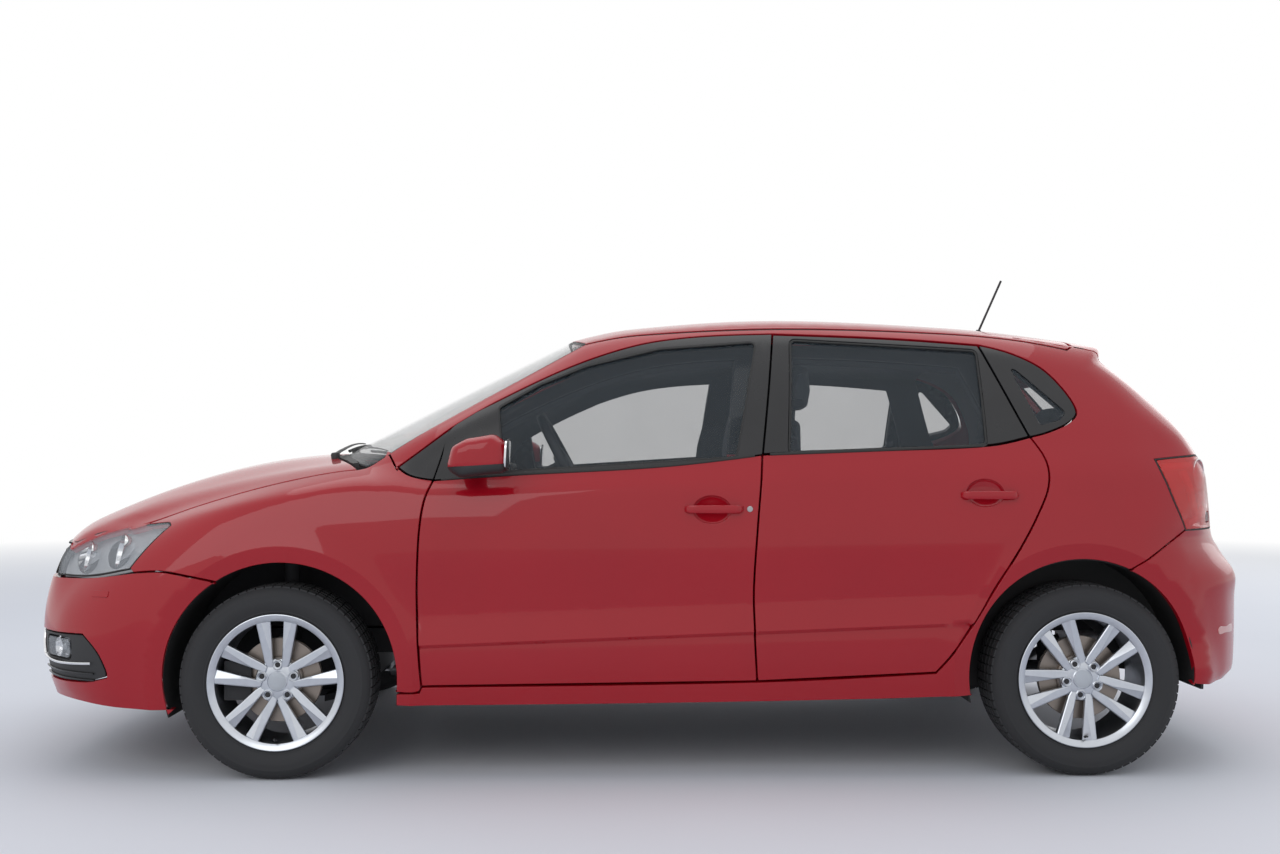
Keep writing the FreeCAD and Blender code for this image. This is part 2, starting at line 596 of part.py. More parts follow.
# Cabin: dashboard, seats
DASH_FRONT_X = CABIN_FRONT_X + 1
DASH_OUTLINE = ((DASH_FRONT_X, 640), (DASH_FRONT_X, 905), (-740, 935), (-520, 948), (-440, 915), (-455, 800),
                (-520, 690), (-640, 620))
dashboard = side_prism(DASH_OUTLINE, -630, 630)
column_end = Vector(-300, size("DriverY"), 930)
dashboard = dashboard.fuse(rod((-500, size("DriverY"), 824), tuple(column_end), 28))
publish("dashboard", dashboard)

SEAT_OUTLINE = ((-130, 410), (-150, 470), (-90, 510), (200, 485), (310, 500), (430, 980), (455, 1100), (500, 1118),
                (525, 1095), (520, 980), (440, 480), (400, 400))
HEADREST_OUTLINE = ((455, 1130), (470, 1270), (510, 1290), (555, 1270), (545, 1130))
SEAT_WIDTH = 500
seat_y = size("DriverY")
seat = side_prism(SEAT_OUTLINE, seat_y - SEAT_WIDTH / 2, seat_y + SEAT_WIDTH / 2)
seat = seat.fuse(side_prism(HEADREST_OUTLINE, seat_y - 135, seat_y + 135))
seat = seat.fuse(rod((498, seat_y - 60, 1100), (503, seat_y - 60, 1140), 7))
seat = seat.fuse(rod((498, seat_y + 60, 1100), (503, seat_y + 60, 1140), 7))
for rail_y in (seat_y - 190, seat_y + 170):
    seat = seat.fuse(box(-60, 340, rail_y, rail_y + 20, size("FloorTop"), 440))
publish("front_seats", pair(seat))

BENCH_OUTLINE = ((800, size("FloorTop")), (780, 470), (820, 520), (1120, 490), (1210, 510), (1330, 1020), (1375, 1040),
                 (1400, 1020), (1300, 480), (1280, REAR_FLOOR_Z + 14), (REAR_FLOOR_X, REAR_FLOOR_Z + 14),
                 (REAR_FLOOR_X, size("FloorTop")))
BENCH_HALF_WIDTH = 440
bench = side_prism(BENCH_OUTLINE, -BENCH_HALF_WIDTH, BENCH_HALF_WIDTH)
bench = bench.fuse(box(860, 1180, -600, 600, REAR_FLOOR_Z + 60, 505).common(side_prism(BENCH_OUTLINE, -600, 600)))
for rest_y in (-340, 340):
    bench = bench.fuse(side_prism(((1345, 1036), (1360, 1130), (1400, 1150), (1430, 1130), (1400, 1019)),
                                  rest_y - 120, rest_y + 120))
publish("rear_seat", keep_largest(bench.cut(floor_pan)))

# Running gear under the floor
engine = box(-1490, -900, -380, 380, 240, 800)
publish("engine", engine)
subframe = box(-1300, -940, -400, 400, 196, 240)
for sign in (-1, 1):
    arm = plan_prism(((-1290, sign * 380), (-1150, sign * 640), (-1102, sign * 640), (-960, sign * 380)), 184, 206)
    subframe = subframe.fuse(arm.cut(box(-1210, -1040, -560, 560, 150, 250).cut(box(-2000, 0, -420, 420, 0, 300))))
    rail = box(-1895, FIREWALL_X, min(sign * 382, sign * 440), max(sign * 382, sign * 440), 330, 410)
    subframe = subframe.fuse(rail)
    subframe = subframe.fuse(box(-1200, -1000, min(sign * 382, sign * 420), max(sign * 382, sign * 420), 230, 335))
front_whole = whole(front_bumper).fuse(whole(lower_grille))
publish("front_subframe", keep_largest(subframe.cut(front_whole).cut(floor_pan).cut(engine)))

rear_x = size("RearAxleX")
BEARING_INNER_Y = 640
axle = rod((1090, -540, 300), (1090, 540, 300), 30)
for sign in (-1, 1):
    axle = axle.fuse(rod((985, sign * 540, 300), (rear_x, sign * 600, HUB_Z), 26))
    axle = axle.fuse(rod((rear_x, sign * 590, HUB_Z), (rear_x, sign * 655, HUB_Z), 46))
    axle = axle.fuse(rod((rear_x, sign * 650, HUB_Z), (rear_x, sign * 722, HUB_Z), 34))
    axle = axle.fuse(rod((rear_x, sign * 722, HUB_Z), (rear_x, sign * 770, HUB_Z), 19))
    axle = axle.fuse(rod((985, sign * 500, 300), (985, sign * 580, 300), 34))
    axle = axle.fuse(box(REAR_FLOOR_X + 14, 990, min(sign * 520, sign * 560), max(sign * 520, sign * 560), 290, 330))
    axle = axle.fuse(rod((rear_x - 40, sign * 545, 280), (rear_x - 40, sign * 545, 560), 24))
    axle = axle.fuse(rod((rear_x - 40, sign * 545, 290), (rear_x - 40, sign * 600, 290), 20))
publish("rear_axle", keep_largest(axle.cut(floor_pan)))

exhaust = rod((-925, 60, 240), (-925, 60, 190), 24).fuse(rod((-925, 60, 196), (1420, 60, 196), 24))
exhaust = exhaust.fuse(rod((1410, 60, 200), (1580, 60, 310), 24))
exhaust = exhaust.fuse(rod((1550, 0, 312), (1840, 0, 312), 80).common(box(1500, 1900, -400, 400, 200, 400)))
exhaust = exhaust.fuse(rod((1800, -60, 300), (1800, -440, 280), 22)).fuse(rod((1790, -430, 285), (1905, -430, 250), 24))
publish("exhaust", keep_largest(exhaust.cut(floor_pan).cut(engine).cut(whole(rear_bumper)).cut(subframe)))

# Aerial and mirrors
antenna = Part.makeCone(16, 9, 26, Vector(1242, 0, 1421), Vector(0.25, 0, 1))
antenna = antenna.fuse(rod((1246, 0, 1440), (1332, 0, 1630), size("AntennaRadius")))
publish("antenna", keep_largest(antenna.cut(roof_shape)))

MIRROR_OUTLINE = ((-585, 1008), (-540, 1032), (-455, 1046), (-425, 1020), (-415, 975), (-418, 928), (-560, 915),
                  (-600, 940))
mirror = side_prism(MIRROR_OUTLINE, -size("MirrorOuterY"), -830)
mirror = mirror.fuse(box(-570, -500, -832, -700, 922, 962))
mirror = keep_largest(mirror.cut(front_door).cut(inner_sides).cut(front_pane))
publish("mirror_left", mirror)
publish("mirror_right", both_sides(mirror)[1])

# Wheels: a rim with its brake disc, and a tyre, turning on one axle line
RIM_OUTLINE = ((207, -83), (207, -77), (190, -75), (190, 83), (184, 83), (184, -68), (200, -83))
TYRE_OUTLINE = ((190.6, -74), (208.5, -76.3), (247, -92.5), (284, -82), (294, -58), (294, 58), (284, 82),
                (247, 92.5), (190.6, 74))
SPOKE_PAIRS = 5
SPOKE_FACE = ((48, 14), (186, 20), (175, 64), (48, 36))
SPOKE_DEPTH = ((46, -58), (188, -74), (188, -56), (46, -41))
HUB_FACE_Y = -38


def revolved(outline):
    """A ring about the Y axis from an outline of (radius, y) points."""
    points = [Vector(radius, y, 0) for radius, y in outline]
    face = Part.Face(Part.makePolygon(points + points[:1]))
    return face.revolve(Vector(0, 0, 0), Vector(0, 1, 0), 360)


def turned(outline, sides):
    """A ring of flat facets about the Y axis, from an outline of (radius, y) points."""
    rings = []
    for radius, y in outline:
        rings.append([Vector(radius * math.cos(2 * math.pi * k / sides), y, radius * math.sin(2 * math.pi * k / sides))
                      for k in range(sides)])
    faces = []
    for near, far in zip(rings, rings[1:] + rings[:1]):
        for k in range(sides):
            after = (k + 1) % sides
            faces.append(Part.Face(Part.makePolygon([near[k], near[after], far[after], far[k], near[k]])))
    solid = Part.makeSolid(Part.makeShell(faces))
    if solid.Volume < 0:
        solid.reverse()
    return solid


def left_rim(first_angle):
    """A left wheel's rim about the origin, outer face towards -Y, with five pairs of spokes."""
    rim = revolved(RIM_OUTLINE)
    hub = rod((0, -60, 0), (0, HUB_FACE_Y, 0), 72)
    hub = hub.cut(rod((0, -54, 0), (0, 0, 0), size("HubBoreRadius")))
    for index in range(5):
        angle = math.radians(first_angle + 72 * index)
        x = size("BoltCircleRadius") * math.cos(angle)
        z = size("BoltCircleRadius") * math.sin(angle)
        hub = hub.cut(rod((x, -70, z), (x, -30, z), size("BoltHoleRadius")))
    rim = rim.fuse(hub)
    depth = plan_prism(SPOKE_DEPTH, -80, 80)
    for mirror_sign in (-1, 1):
        spoke = side_prism([(along, mirror_sign * across) for along, across in SPOKE_FACE], -80, -20).common(depth)
        for index in range(SPOKE_PAIRS):
            one = spoke.copy()
            one.rotate(Vector(0, 0, 0), Vector(0, -1, 0), first_angle + 72 * index)
            rim = rim.fuse(one)
    hat = revolved(((72, HUB_FACE_Y), (72, -24), (size("DiscRadius"), -24), (size("DiscRadius"), -4), (36, -4),
                    (36, HUB_FACE_Y)))
    return rim.fuse(hat)


def placed(shape, x, y, z):
    """A copy of a shape moved from the origin to a place."""
    return shifted(shape, x, y, z)


front_hub_y = size("FrontTrack") / 2
rear_hub_y = size("RearTrack") / 2
TYRE_SIDES = 72
tyre = turned(TYRE_OUTLINE, TYRE_SIDES)
for axle, axle_x, hub_y, first_angle in (("front", size("FrontAxleX"), front_hub_y, 90),
                                         ("rear", rear_x, rear_hub_y, 46)):
    rim = placed(left_rim(first_angle), axle_x, -hub_y, HUB_Z)
    tyre_left = placed(tyre, axle_x, -hub_y, HUB_Z)
    for side, index in (("left", 0), ("right", 1)):
        publish("rim_{}_{}".format(axle, side), both_sides(rim)[index])
        publish("tyre_{}_{}".format(axle, side), both_sides(tyre_left)[index])

# Front knuckles: hub bearing, upright, caliper and damper, turning about the kingpin
kingpin_y = front_hub_y - size("KingpinInset")
front_x = size("FrontAxleX")


def from_wheel(offset):
    """The y of a left point inboard of the front wheel's centre plane by an offset."""
    return -front_hub_y + offset


knuckle = rod((front_x, from_wheel(-46), HUB_Z), (front_x, from_wheel(20), HUB_Z), 19)
knuckle = knuckle.fuse(rod((front_x, from_wheel(4), HUB_Z), (front_x, from_wheel(80), HUB_Z), 40))
knuckle = knuckle.fuse(box(front_x - 26, front_x + 26, from_wheel(58), from_wheel(80), 224, 420))
knuckle = knuckle.fuse(box(front_x - 24, front_x + 24, from_wheel(62), from_wheel(150), 396, 420))
knuckle = knuckle.fuse(rod((front_x, from_wheel(124), 396), (front_x, from_wheel(124), 640), 24))
caliper = box(front_x - 166, front_x - 84, from_wheel(-38), from_wheel(36), HUB_Z - 60, HUB_Z + 60)
caliper = caliper.cut(rod((front_x, from_wheel(-32), HUB_Z), (front_x, from_wheel(4), HUB_Z), 135))
bracket = box(front_x - 110, front_x, from_wheel(14), from_wheel(34), HUB_Z - 30, HUB_Z + 30)
knuckle = keep_largest(knuckle.fuse(caliper).fuse(bracket))
publish("knuckle_left", knuckle)
publish("knuckle_right", both_sides(knuckle)[1])

# Steering wheel, its rim square to the column
WHEEL_CENTRE = Vector(-262, size("DriverY"), 950)
grip = size("SteeringRimRadius")
ring = size("SteeringWheelRadius")
grip_outline = [(ring + grip * math.cos(math.radians(step)), grip * math.sin(math.radians(step)))
                for step in range(0, 360, 60)]
steering = revolved(grip_outline)
steering.rotate(Vector(0, 0, 0), Vector(1, 0, 0), 90)
steering = steering.fuse(Part.makeCylinder(68, 36, Vector(0, 0, -24)))
for spoke_angle in (0, 180, 270):
    arm = box(50, size("SteeringWheelRadius"), -19, 19, -14, 2)
    arm.rotate(Vector(0, 0, 0), Vector(0, 0, 1), spoke_angle)
    steering = steering.fuse(arm)
steering = steering.fuse(Part.makeCylinder(20, 20, Vector(0, 0, -40)))
steering.rotate(Vector(0, 0, 0), Vector(0, 1, 0), 62)
steering.translate(WHEEL_CENTRE)
publish("steering_wheel", keep_largest(steering))

# Check every object before writing the files
doc.recompute()
for item in doc.Objects:
    if "Invalid" in item.State or "Error" in item.State:
        raise RuntimeError("{} did not compute".format(item.Label))
for part in SUB_PARTS:
    if part.Shape.isNull() or not part.Shape.isValid():
        raise RuntimeError("{} has no valid shape".format(part.Label))
os.makedirs("parts", exist_ok=True)
for part in SUB_PARTS:
    part.Shape.exportStep("parts/{}.step".format(part.Label))
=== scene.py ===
"""A five-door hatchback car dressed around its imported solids.

Right-hand shapes are built first, with y outwards, and mirrored for the left side.
Tables and sizes are in millimetres; meshes are in metres.
"""
import logging
import math
from collections.abc import Callable, Iterable, Sequence
from dataclasses import dataclass, field
from enum import Enum

import bmesh
import bpy
import numpy as np
from mathutils import Euler, Matrix, Vector
from mathutils.geometry import delaunay_2d_cdt


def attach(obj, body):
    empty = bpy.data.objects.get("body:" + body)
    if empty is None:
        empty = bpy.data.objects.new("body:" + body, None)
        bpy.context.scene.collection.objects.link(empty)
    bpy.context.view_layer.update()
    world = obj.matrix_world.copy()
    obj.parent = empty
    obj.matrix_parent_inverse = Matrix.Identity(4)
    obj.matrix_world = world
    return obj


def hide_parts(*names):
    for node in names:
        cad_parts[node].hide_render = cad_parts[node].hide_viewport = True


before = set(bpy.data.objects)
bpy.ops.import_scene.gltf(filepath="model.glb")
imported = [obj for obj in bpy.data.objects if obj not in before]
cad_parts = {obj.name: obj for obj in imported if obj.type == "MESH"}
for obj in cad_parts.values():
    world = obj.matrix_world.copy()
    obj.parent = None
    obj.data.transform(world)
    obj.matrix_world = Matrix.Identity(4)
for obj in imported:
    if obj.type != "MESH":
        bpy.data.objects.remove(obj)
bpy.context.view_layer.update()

LOG = logging.getLogger("hatchback")
MM = 0.001
SHUT_GAP = 5.0
"""Width of the gaps between painted panels."""

Array = np.ndarray
Point = tuple[float, float, float]
Flat = tuple[float, float]
Arch = tuple[Flat, float]


# Curves and tables

def pchip(xs: Sequence[float], ys: Array, at: Array) -> Array:
    """Monotone cubic through table points, carried on straight beyond both ends.

    Args:
        xs: Rising positions of the table.
        ys: Values at those positions, with any further columns.
        at: Positions to read.
    Returns:
        The values at those positions.
    """
    xs = np.asarray(xs, float)
    ys = np.asarray(ys, float)
    at = np.asarray(at, float)
    shape = (-1,) + (1,) * (ys.ndim - 1)
    h = np.diff(xs).reshape(shape)
    slope = np.diff(ys, axis=0) / h
    tangent = np.zeros_like(ys)
    if len(xs) > 2:
        w1 = 2 * h[1:] + h[:-1]
        w2 = h[1:] + 2 * h[:-1]
        rising = slope[:-1] * slope[1:] > 0
        safe0 = np.where(rising, slope[:-1], 1.0)
        safe1 = np.where(rising, slope[1:], 1.0)
        tangent[1:-1] = np.where(rising, (w1 + w2) / (w1 / safe0 + w2 / safe1), 0.0)
        tangent[0] = 1.5 * slope[0] - 0.5 * tangent[1]
        tangent[-1] = 1.5 * slope[-1] - 0.5 * tangent[-2]
    else:
        tangent[:] = slope
    i = np.clip(np.searchsorted(xs, at) - 1, 0, len(xs) - 2)
    raw = ((at - xs[i]) / np.diff(xs)[i]).reshape(shape)
    t = np.clip(raw, 0.0, 1.0)
    hi = h[i]
    inside = ((1 + 2 * t) * (1 - t) ** 2 * ys[i] + t * (1 - t) ** 2 * hi * tangent[i]
              + t * t * (3 - 2 * t) * ys[i + 1] + t * t * (t - 1) * hi * tangent[i + 1])
    beyond = np.where(raw > 1, tangent[i + 1], tangent[i]) * (raw - t) * hi
    return inside + beyond


def spline(points: Sequence[Sequence[float]], spacing: float = 12.0) -> Array:
    """A smooth curve through points, sampled at about even spacing.

    Args:
        points: Table points, of two or three numbers each.
        spacing: Distance between samples.
    Returns:
        The sampled points, both ends included.
    """
    pts = np.asarray(points, float)
    reach = np.concatenate([[0.0], np.cumsum(np.linalg.norm(np.diff(pts, axis=0), axis=1))])
    count = max(2, int(round(reach[-1] / spacing)) + 1)
    if len(pts) == 2:
        return np.linspace(pts[0], pts[1], count)
    tangent = np.zeros_like(pts)
    tangent[1:-1] = (pts[2:] - pts[:-2]) / (reach[2:] - reach[:-2])[:, None]
    tangent[0] = 1.5 * (pts[1] - pts[0]) / reach[1] - 0.5 * tangent[1]
    tangent[-1] = 1.5 * (pts[-1] - pts[-2]) / (reach[-1] - reach[-2]) - 0.5 * tangent[-2]
    at = np.linspace(0.0, reach[-1], count)
    i = np.clip(np.searchsorted(reach, at) - 1, 0, len(pts) - 2)
    h = (reach[i + 1] - reach[i])[:, None]
    t = ((at - reach[i]) / (reach[i + 1] - reach[i]))[:, None]
    return ((1 + 2 * t) * (1 - t) ** 2 * pts[i] + t * (1 - t) ** 2 * h * tangent[i]
            + t * t * (3 - 2 * t) * pts[i + 1] + t * t * (t - 1) * h * tangent[i + 1])


def chain(*runs: Array) -> Array:
    """One closed loop from runs joined end to end, without the doubled joints."""
    loop: list[Array] = []
    for run in runs:
        for point in run:
            if not loop or np.linalg.norm(point - loop[-1]) > 0.5:
                loop.append(point)
    if np.linalg.norm(loop[0] - loop[-1]) < 0.5:
        loop.pop()
    return np.array(loop)


def arc(centre: tuple[float, float], radius: float, start: float, end: float,
        spacing: float = 12.0) -> Array:
    """Points (a, b) of a circular arc from one angle in degrees to another."""
    count = max(3, int(abs(math.radians(end - start)) * radius / spacing) + 1)
    angles = np.radians(np.linspace(start, end, count))
    return np.stack([centre[0] + radius * np.cos(angles), centre[1] + radius * np.sin(angles)], axis=1)


# The painted skin, as one smooth closed surface

class Field:
    """A height over a plane, read smoothly from a regular grid."""

    def __init__(self, us: Array, vs: Array, values: Array) -> None:
        """Keep the grid and its slope factor.

        Args:
            us: Rising even positions along the first axis.
            vs: Rising even positions along the second axis.
            values: Height at each pair of positions.
        """
        self.origin = (us[0], vs[0])
        self.step = (us[1] - us[0], vs[1] - vs[0])
        self.values = values
        du, dv = np.gradient(values, *self.step)
        self.slope = np.sqrt(1.0 + du * du + dv * dv)

    @staticmethod
    def _weights(t: Array) -> Array:
        """The four cubic spline weights at a position between two grid points."""
        return np.stack([(1 - t) ** 3, 3 * t ** 3 - 6 * t * t + 4,
                         -3 * t ** 3 + 3 * t * t + 3 * t + 1, t ** 3]) / 6.0

    def gap(self, w: Array, u: Array, v: Array) -> Array:
        """Distance of points above the surface, negative below it."""
        a = (u - self.origin[0]) / self.step[0]
        b = (v - self.origin[1]) / self.step[1]
        i = np.clip(np.floor(a).astype(int), 1, self.values.shape[0] - 3)
        j = np.clip(np.floor(b).astype(int), 1, self.values.shape[1] - 3)
        wu = self._weights(np.clip(a - i, 0.0, 1.0))
        wv = self._weights(np.clip(b - j, 0.0, 1.0))
        height = np.zeros_like(a)
        slope = np.zeros_like(a)
        for p in range(4):
            for q in range(4):
                weight = wu[p] * wv[q]
                height += weight * self.values[i - 1 + p, j - 1 + q]
                slope += weight * self.slope[i - 1 + p, j - 1 + q]
        return (w - height) / slope


# Lengthwise sections: y, then (x, z) of lip, front, brow, bonnet, cowl, screen, header, dome,
# crown, quarter, spoiler, under, glass, belt, panel, ledge, step, bumper, tail, floor
LENGTH_ROWS = (
    (0, (-1948, 222), (-1986, 430), (-1935, 738), (-1560, 902), (-1040, 990), (-668, 1182),
     (-262, 1384), (-60, 1427), (450, 1458), (1030, 1434), (1595, 1362), (1573, 1322),
     (1702, 1190), (1845, 1037), (1903, 900), (1922, 745), (1940, 702), (1984, 500),
     (1976, 310), (1890, 238)),
    (350, (-1932, 222), (-1971, 430), (-1908, 734), (-1545, 886), (-1008, 984), (-645, 1172),
     (-248, 1370), (-50, 1412), (450, 1443), (1020, 1419), (1565, 1352), (1543, 1312),
     (1678, 1188), (1822, 1037), (1884, 900), (1905, 742), (1924, 698), (1971, 500),
     (1962, 308), (1872, 238)),
    (560, (-1885, 222), (-1930, 430), (-1850, 718), (-1500, 850), (-930, 970), (-590, 1146),
     (-200, 1344), (-20, 1378), (450, 1404), (990, 1384), (1500, 1322), (1480, 1290),
     (1622, 1182), (1768, 1036), (1830, 900), (1848, 738), (1868, 690), (1922, 500),
     (1915, 305), (1825, 238)),
    (700, (-1775, 222), (-1835, 430), (-1720, 655), (-1400, 826), (-875, 950), (-560, 1110),
     (-160, 1290), (10, 1318), (450, 1340), (950, 1325), (1400, 1270), (1385, 1245),
     (1520, 1165), (1700, 1030), (1765, 900), (1760, 735), (1775, 685), (1835, 500),
     (1828, 302), (1740, 238)),
    (790, (-1640, 222), (-1700, 430), (-1600, 640), (-1350, 800), (-830, 930), (-540, 1060),
     (-150, 1200), (0, 1230), (450, 1250), (900, 1240), (1300, 1200), (1290, 1180),
     (1420, 1120), (1600, 1010), (1665, 900), (1650, 735), (1665, 685), (1715, 500),
     (1708, 300), (1620, 238)),
    (870, (-1450, 222), (-1500, 430), (-1430, 620), (-1250, 770), (-800, 900), (-520, 1000),
     (-150, 1100), (0, 1130), (450, 1150), (900, 1140), (1200, 1100), (1190, 1080),
     (1300, 1040), (1450, 990), (1500, 900), (1490, 735), (1500, 685), (1545, 500),
     (1538, 298), (1450, 238)),
)
# Crosswise sections of the sides: x, then (y, z) of sill, crease, bulge, wide, shoulder, belt,
# middle, rail
CROSS_ROWS = (
    (-2010, (800, 195), (822, 420), (826, 520), (828, 620), (800, 700), (700, 760), (560, 880),
     (400, 1020)),
    (-1640, (806, 200), (828, 420), (832, 520), (834, 620), (790, 735), (650, 782), (540, 890),
     (400, 1030)),
    (-1400, (812, 205), (834, 415), (837, 520), (839, 650), (800, 800), (686, 852), (580, 945),
     (430, 1070)),
    (-1126, (815, 212), (838, 410), (839, 520), (841, 670), (812, 850), (704, 922), (600, 1010),
     (450, 1120)),
    (-871, (816, 216), (838, 408), (838, 520), (841, 680), (815, 880), (722, 968), (640, 1080),
     (520, 1230)),
    (-640, (816, 220), (838, 408), (836, 510), (841, 690), (824, 860), (786, 906), (690, 1110),
     (570, 1300)),
    (0, (816, 225), (838, 420), (836, 520), (841, 690), (826, 870), (790, 948), (706, 1160),
     (588, 1362)),
    (640, (816, 232), (838, 436), (836, 535), (841, 700), (826, 890), (788, 994), (704, 1180),
     (588, 1372)),
    (1180, (814, 238), (838, 450), (838, 550), (841, 710), (820, 900), (764, 1030), (690, 1180),
     (600, 1335)),
    (1500, (806, 240), (830, 440), (835, 550), (836, 700), (805, 900), (738, 1040), (655, 1180),
     (560, 1310)),
    (1700, (790, 240), (812, 430), (818, 550), (816, 680), (782, 870), (715, 1010), (625, 1160),
     (520, 1290)),
    (2010, (760, 240), (780, 420), (785, 540), (780, 660), (740, 840), (660, 980), (570, 1120),
     (470, 1250)),
)


class Skin:
    """The car's outer surface: its sides, top, nose and tail rounded into each other."""

    GRID = 12.0
    CORNER_X = (-2000.0, -1000.0, -650.0, 1100.0, 1500.0)
    CORNER_ROUND = (60.0, 60.0, 50.0, 50.0, 60.0)
    NOSE_ROUND = 60.0
    TAIL_ROUND = 34.0

    def __init__(self) -> None:
        """Build the four fields from the section tables."""
        self.side = self._side_field()
        self.top, self.nose, self.tail = self._length_fields()

    def _side_field(self) -> Field:
        """Half width over (x, z), from the crosswise sections."""
        xs = np.arange(-2040.0, 2041.0, self.GRID)
        zs = np.arange(150.0, 1600.0, self.GRID)
        rows = np.array([row[1:] for row in CROSS_ROWS], float)
        columns = pchip([row[0] for row in CROSS_ROWS], rows, xs)
        values = np.stack([pchip(c[:, 1], c[:, 0], zs) for c in columns])
        return Field(xs, zs, values)

    def _length_fields(self) -> tuple[Field, Field, Field]:
        """Top over (x, y), nose over (y, z) and tail over (y, z), from the lengthwise sections."""
        rows = np.array([row[1:] for row in LENGTH_ROWS], float)
        ys = np.array([row[0] for row in LENGTH_ROWS], float)
        rows = np.concatenate([rows[1:2], rows])
        ys = np.concatenate([[-ys[1]], ys])
        across = np.arange(-36.0, 960.0, self.GRID)
        columns = pchip(ys, rows, across)
        along = np.arange(-2040.0, 2041.0, self.GRID)
        up = np.arange(150.0, 1600.0, self.GRID)
        top = np.stack([self._top_line(c, along) for c in columns], axis=1)
        nose = np.stack([self._bend(c[:3, ::-1], up) for c in columns])
        tail = np.stack([self._tail_line(c, up) for c in columns])
        return Field(along, across, top), Field(across, up, nose), Field(across, up, tail)

    @staticmethod
    def _bend(points: Array, at: Array) -> Array:
        """A parabola through three points, straight beyond both ends."""
        fit = np.polyfit(points[:, 0], points[:, 1], 2)
        held = np.clip(at, points[0, 0], points[-1, 0])
        return np.polyval(fit, held) + np.polyval(np.polyder(fit), held) * (at - held)

    def _top_line(self, c: Array, at: Array) -> Array:
        """Bonnet, screen and roof heights along one section."""
        bonnet = self._bend(c[2:5], at)
        screen = self._bend(c[4:7], at)
        roof = pchip(c[6:11, 0], c[6:11, 1], at)
        return np.where(at < c[4, 0], bonnet, np.where(at < c[6, 0], screen, roof))

    @staticmethod
    def _tail_line(c: Array, at: Array) -> Array:
        """How far back the tail reaches at each height of one section."""
        bumper = pchip(c[:15:-1, 1], c[:15:-1, 0], at)
        gate = pchip(c[15:10:-1, 1], c[15:10:-1, 0], at)
        step = (at - c[16, 1]) / (c[15, 1] - c[16, 1])
        blend = bumper + (gate - bumper) * np.clip(step, 0.0, 1.0)
        lip = c[11, 0] + (at - c[11, 1]) * (c[10, 0] - c[11, 0]) / (c[10, 1] - c[11, 1])
        return np.where(at > c[11, 1], lip, blend)

    @staticmethod
    def _round_max(a: Array, b: Array, radius: Array | float) -> Array:
        """The larger of two distances, rounded where they meet."""
        near = np.maximum(radius - np.abs(a - b), 0.0) / radius
        return np.maximum(a, b) + near * near * radius * 0.25

    def height(self, p: Array) -> Array:
        """Signed distance of points above the skin, about true close to it."""
        x, z = p[:, 0], p[:, 2]
        y = np.abs(p[:, 1])
        corner = np.interp(x, self.CORNER_X, self.CORNER_ROUND)
        body = self._round_max(self.side.gap(y, x, z), self.top.gap(z, x, y), corner)
        body = self._round_max(body, -self.nose.gap(x, y, z), self.NOSE_ROUND)
        return self._round_max(body, self.tail.gap(x, y, z), self.TAIL_ROUND)

    def normals(self, p: Array) -> Array:
        """Outward unit normals at points on the skin."""
        reach = 5.0
        grads = []
        for axis in range(3):
            shift = np.zeros(3)
            shift[axis] = reach
            grads.append(self.height(p + shift) - self.height(p - shift))
        grad = np.stack(grads, axis=1)
        return grad / np.linalg.norm(grad, axis=1, keepdims=True)

    def hit(self, origins: Array, directions: Array, far: float, level: float | Array = 0.0) -> Array:
        """Where rays first pass below a level of the skin.

        Args:
            origins: Starts, outside the skin.
            directions: Unit vectors pointing inwards.
            far: Length of ray that surely ends inside.
            level: Height over the skin that counts as its surface.
        Returns:
            The points on that level.
        """
        low = np.zeros(len(origins))
        high = np.full(len(origins), far)
        for _ in range(15):
            middle = (low + high) / 2
            outside = self.height(origins + directions * middle[:, None]) > level
            low = np.where(outside, middle, low)
            high = np.where(outside, high, middle)
        return origins + directions * ((low + high) / 2)[:, None]


SKIN = Skin()


class Slant:
    """Parallel rays onto the skin, and the flat plane square to them."""

    REACH = 1500.0

    def __init__(self, direction: Point, depth: float = REACH) -> None:
        """Keep the inward direction.

        Args:
            direction: Where the rays point, inwards.
            depth: Not used; REACH sets how far inside the rays start back from and end.
        """
        self.direction = np.array(direction, float) / np.linalg.norm(direction)
        up = np.array((0.0, 0.0, 1.0)) if abs(self.direction[2]) < 0.9 else np.array((1.0, 0.0, 0.0))
        self.u = np.cross(up, self.direction)
        self.u /= np.linalg.norm(self.u)
        self.v = np.cross(self.direction, self.u)

    def flatten(self, p: Array) -> Array:
        """Points of space on the flat plane."""
        return np.stack([p @ self.u, p @ self.v], axis=1)

    def lift(self, flat: Array, level: float | Array = 0.0, centre: Array | None = None) -> Array:
        """Points of the flat plane raised to the skin."""
        base = flat[:, :1] * self.u + flat[:, 1:] * self.v
        along = float(centre @ self.direction) if centre is not None else 0.0
        origins = base + self.direction * (along - self.REACH / 2)
        return SKIN.hit(origins, np.tile(self.direction, (len(flat), 1)), self.REACH, level)


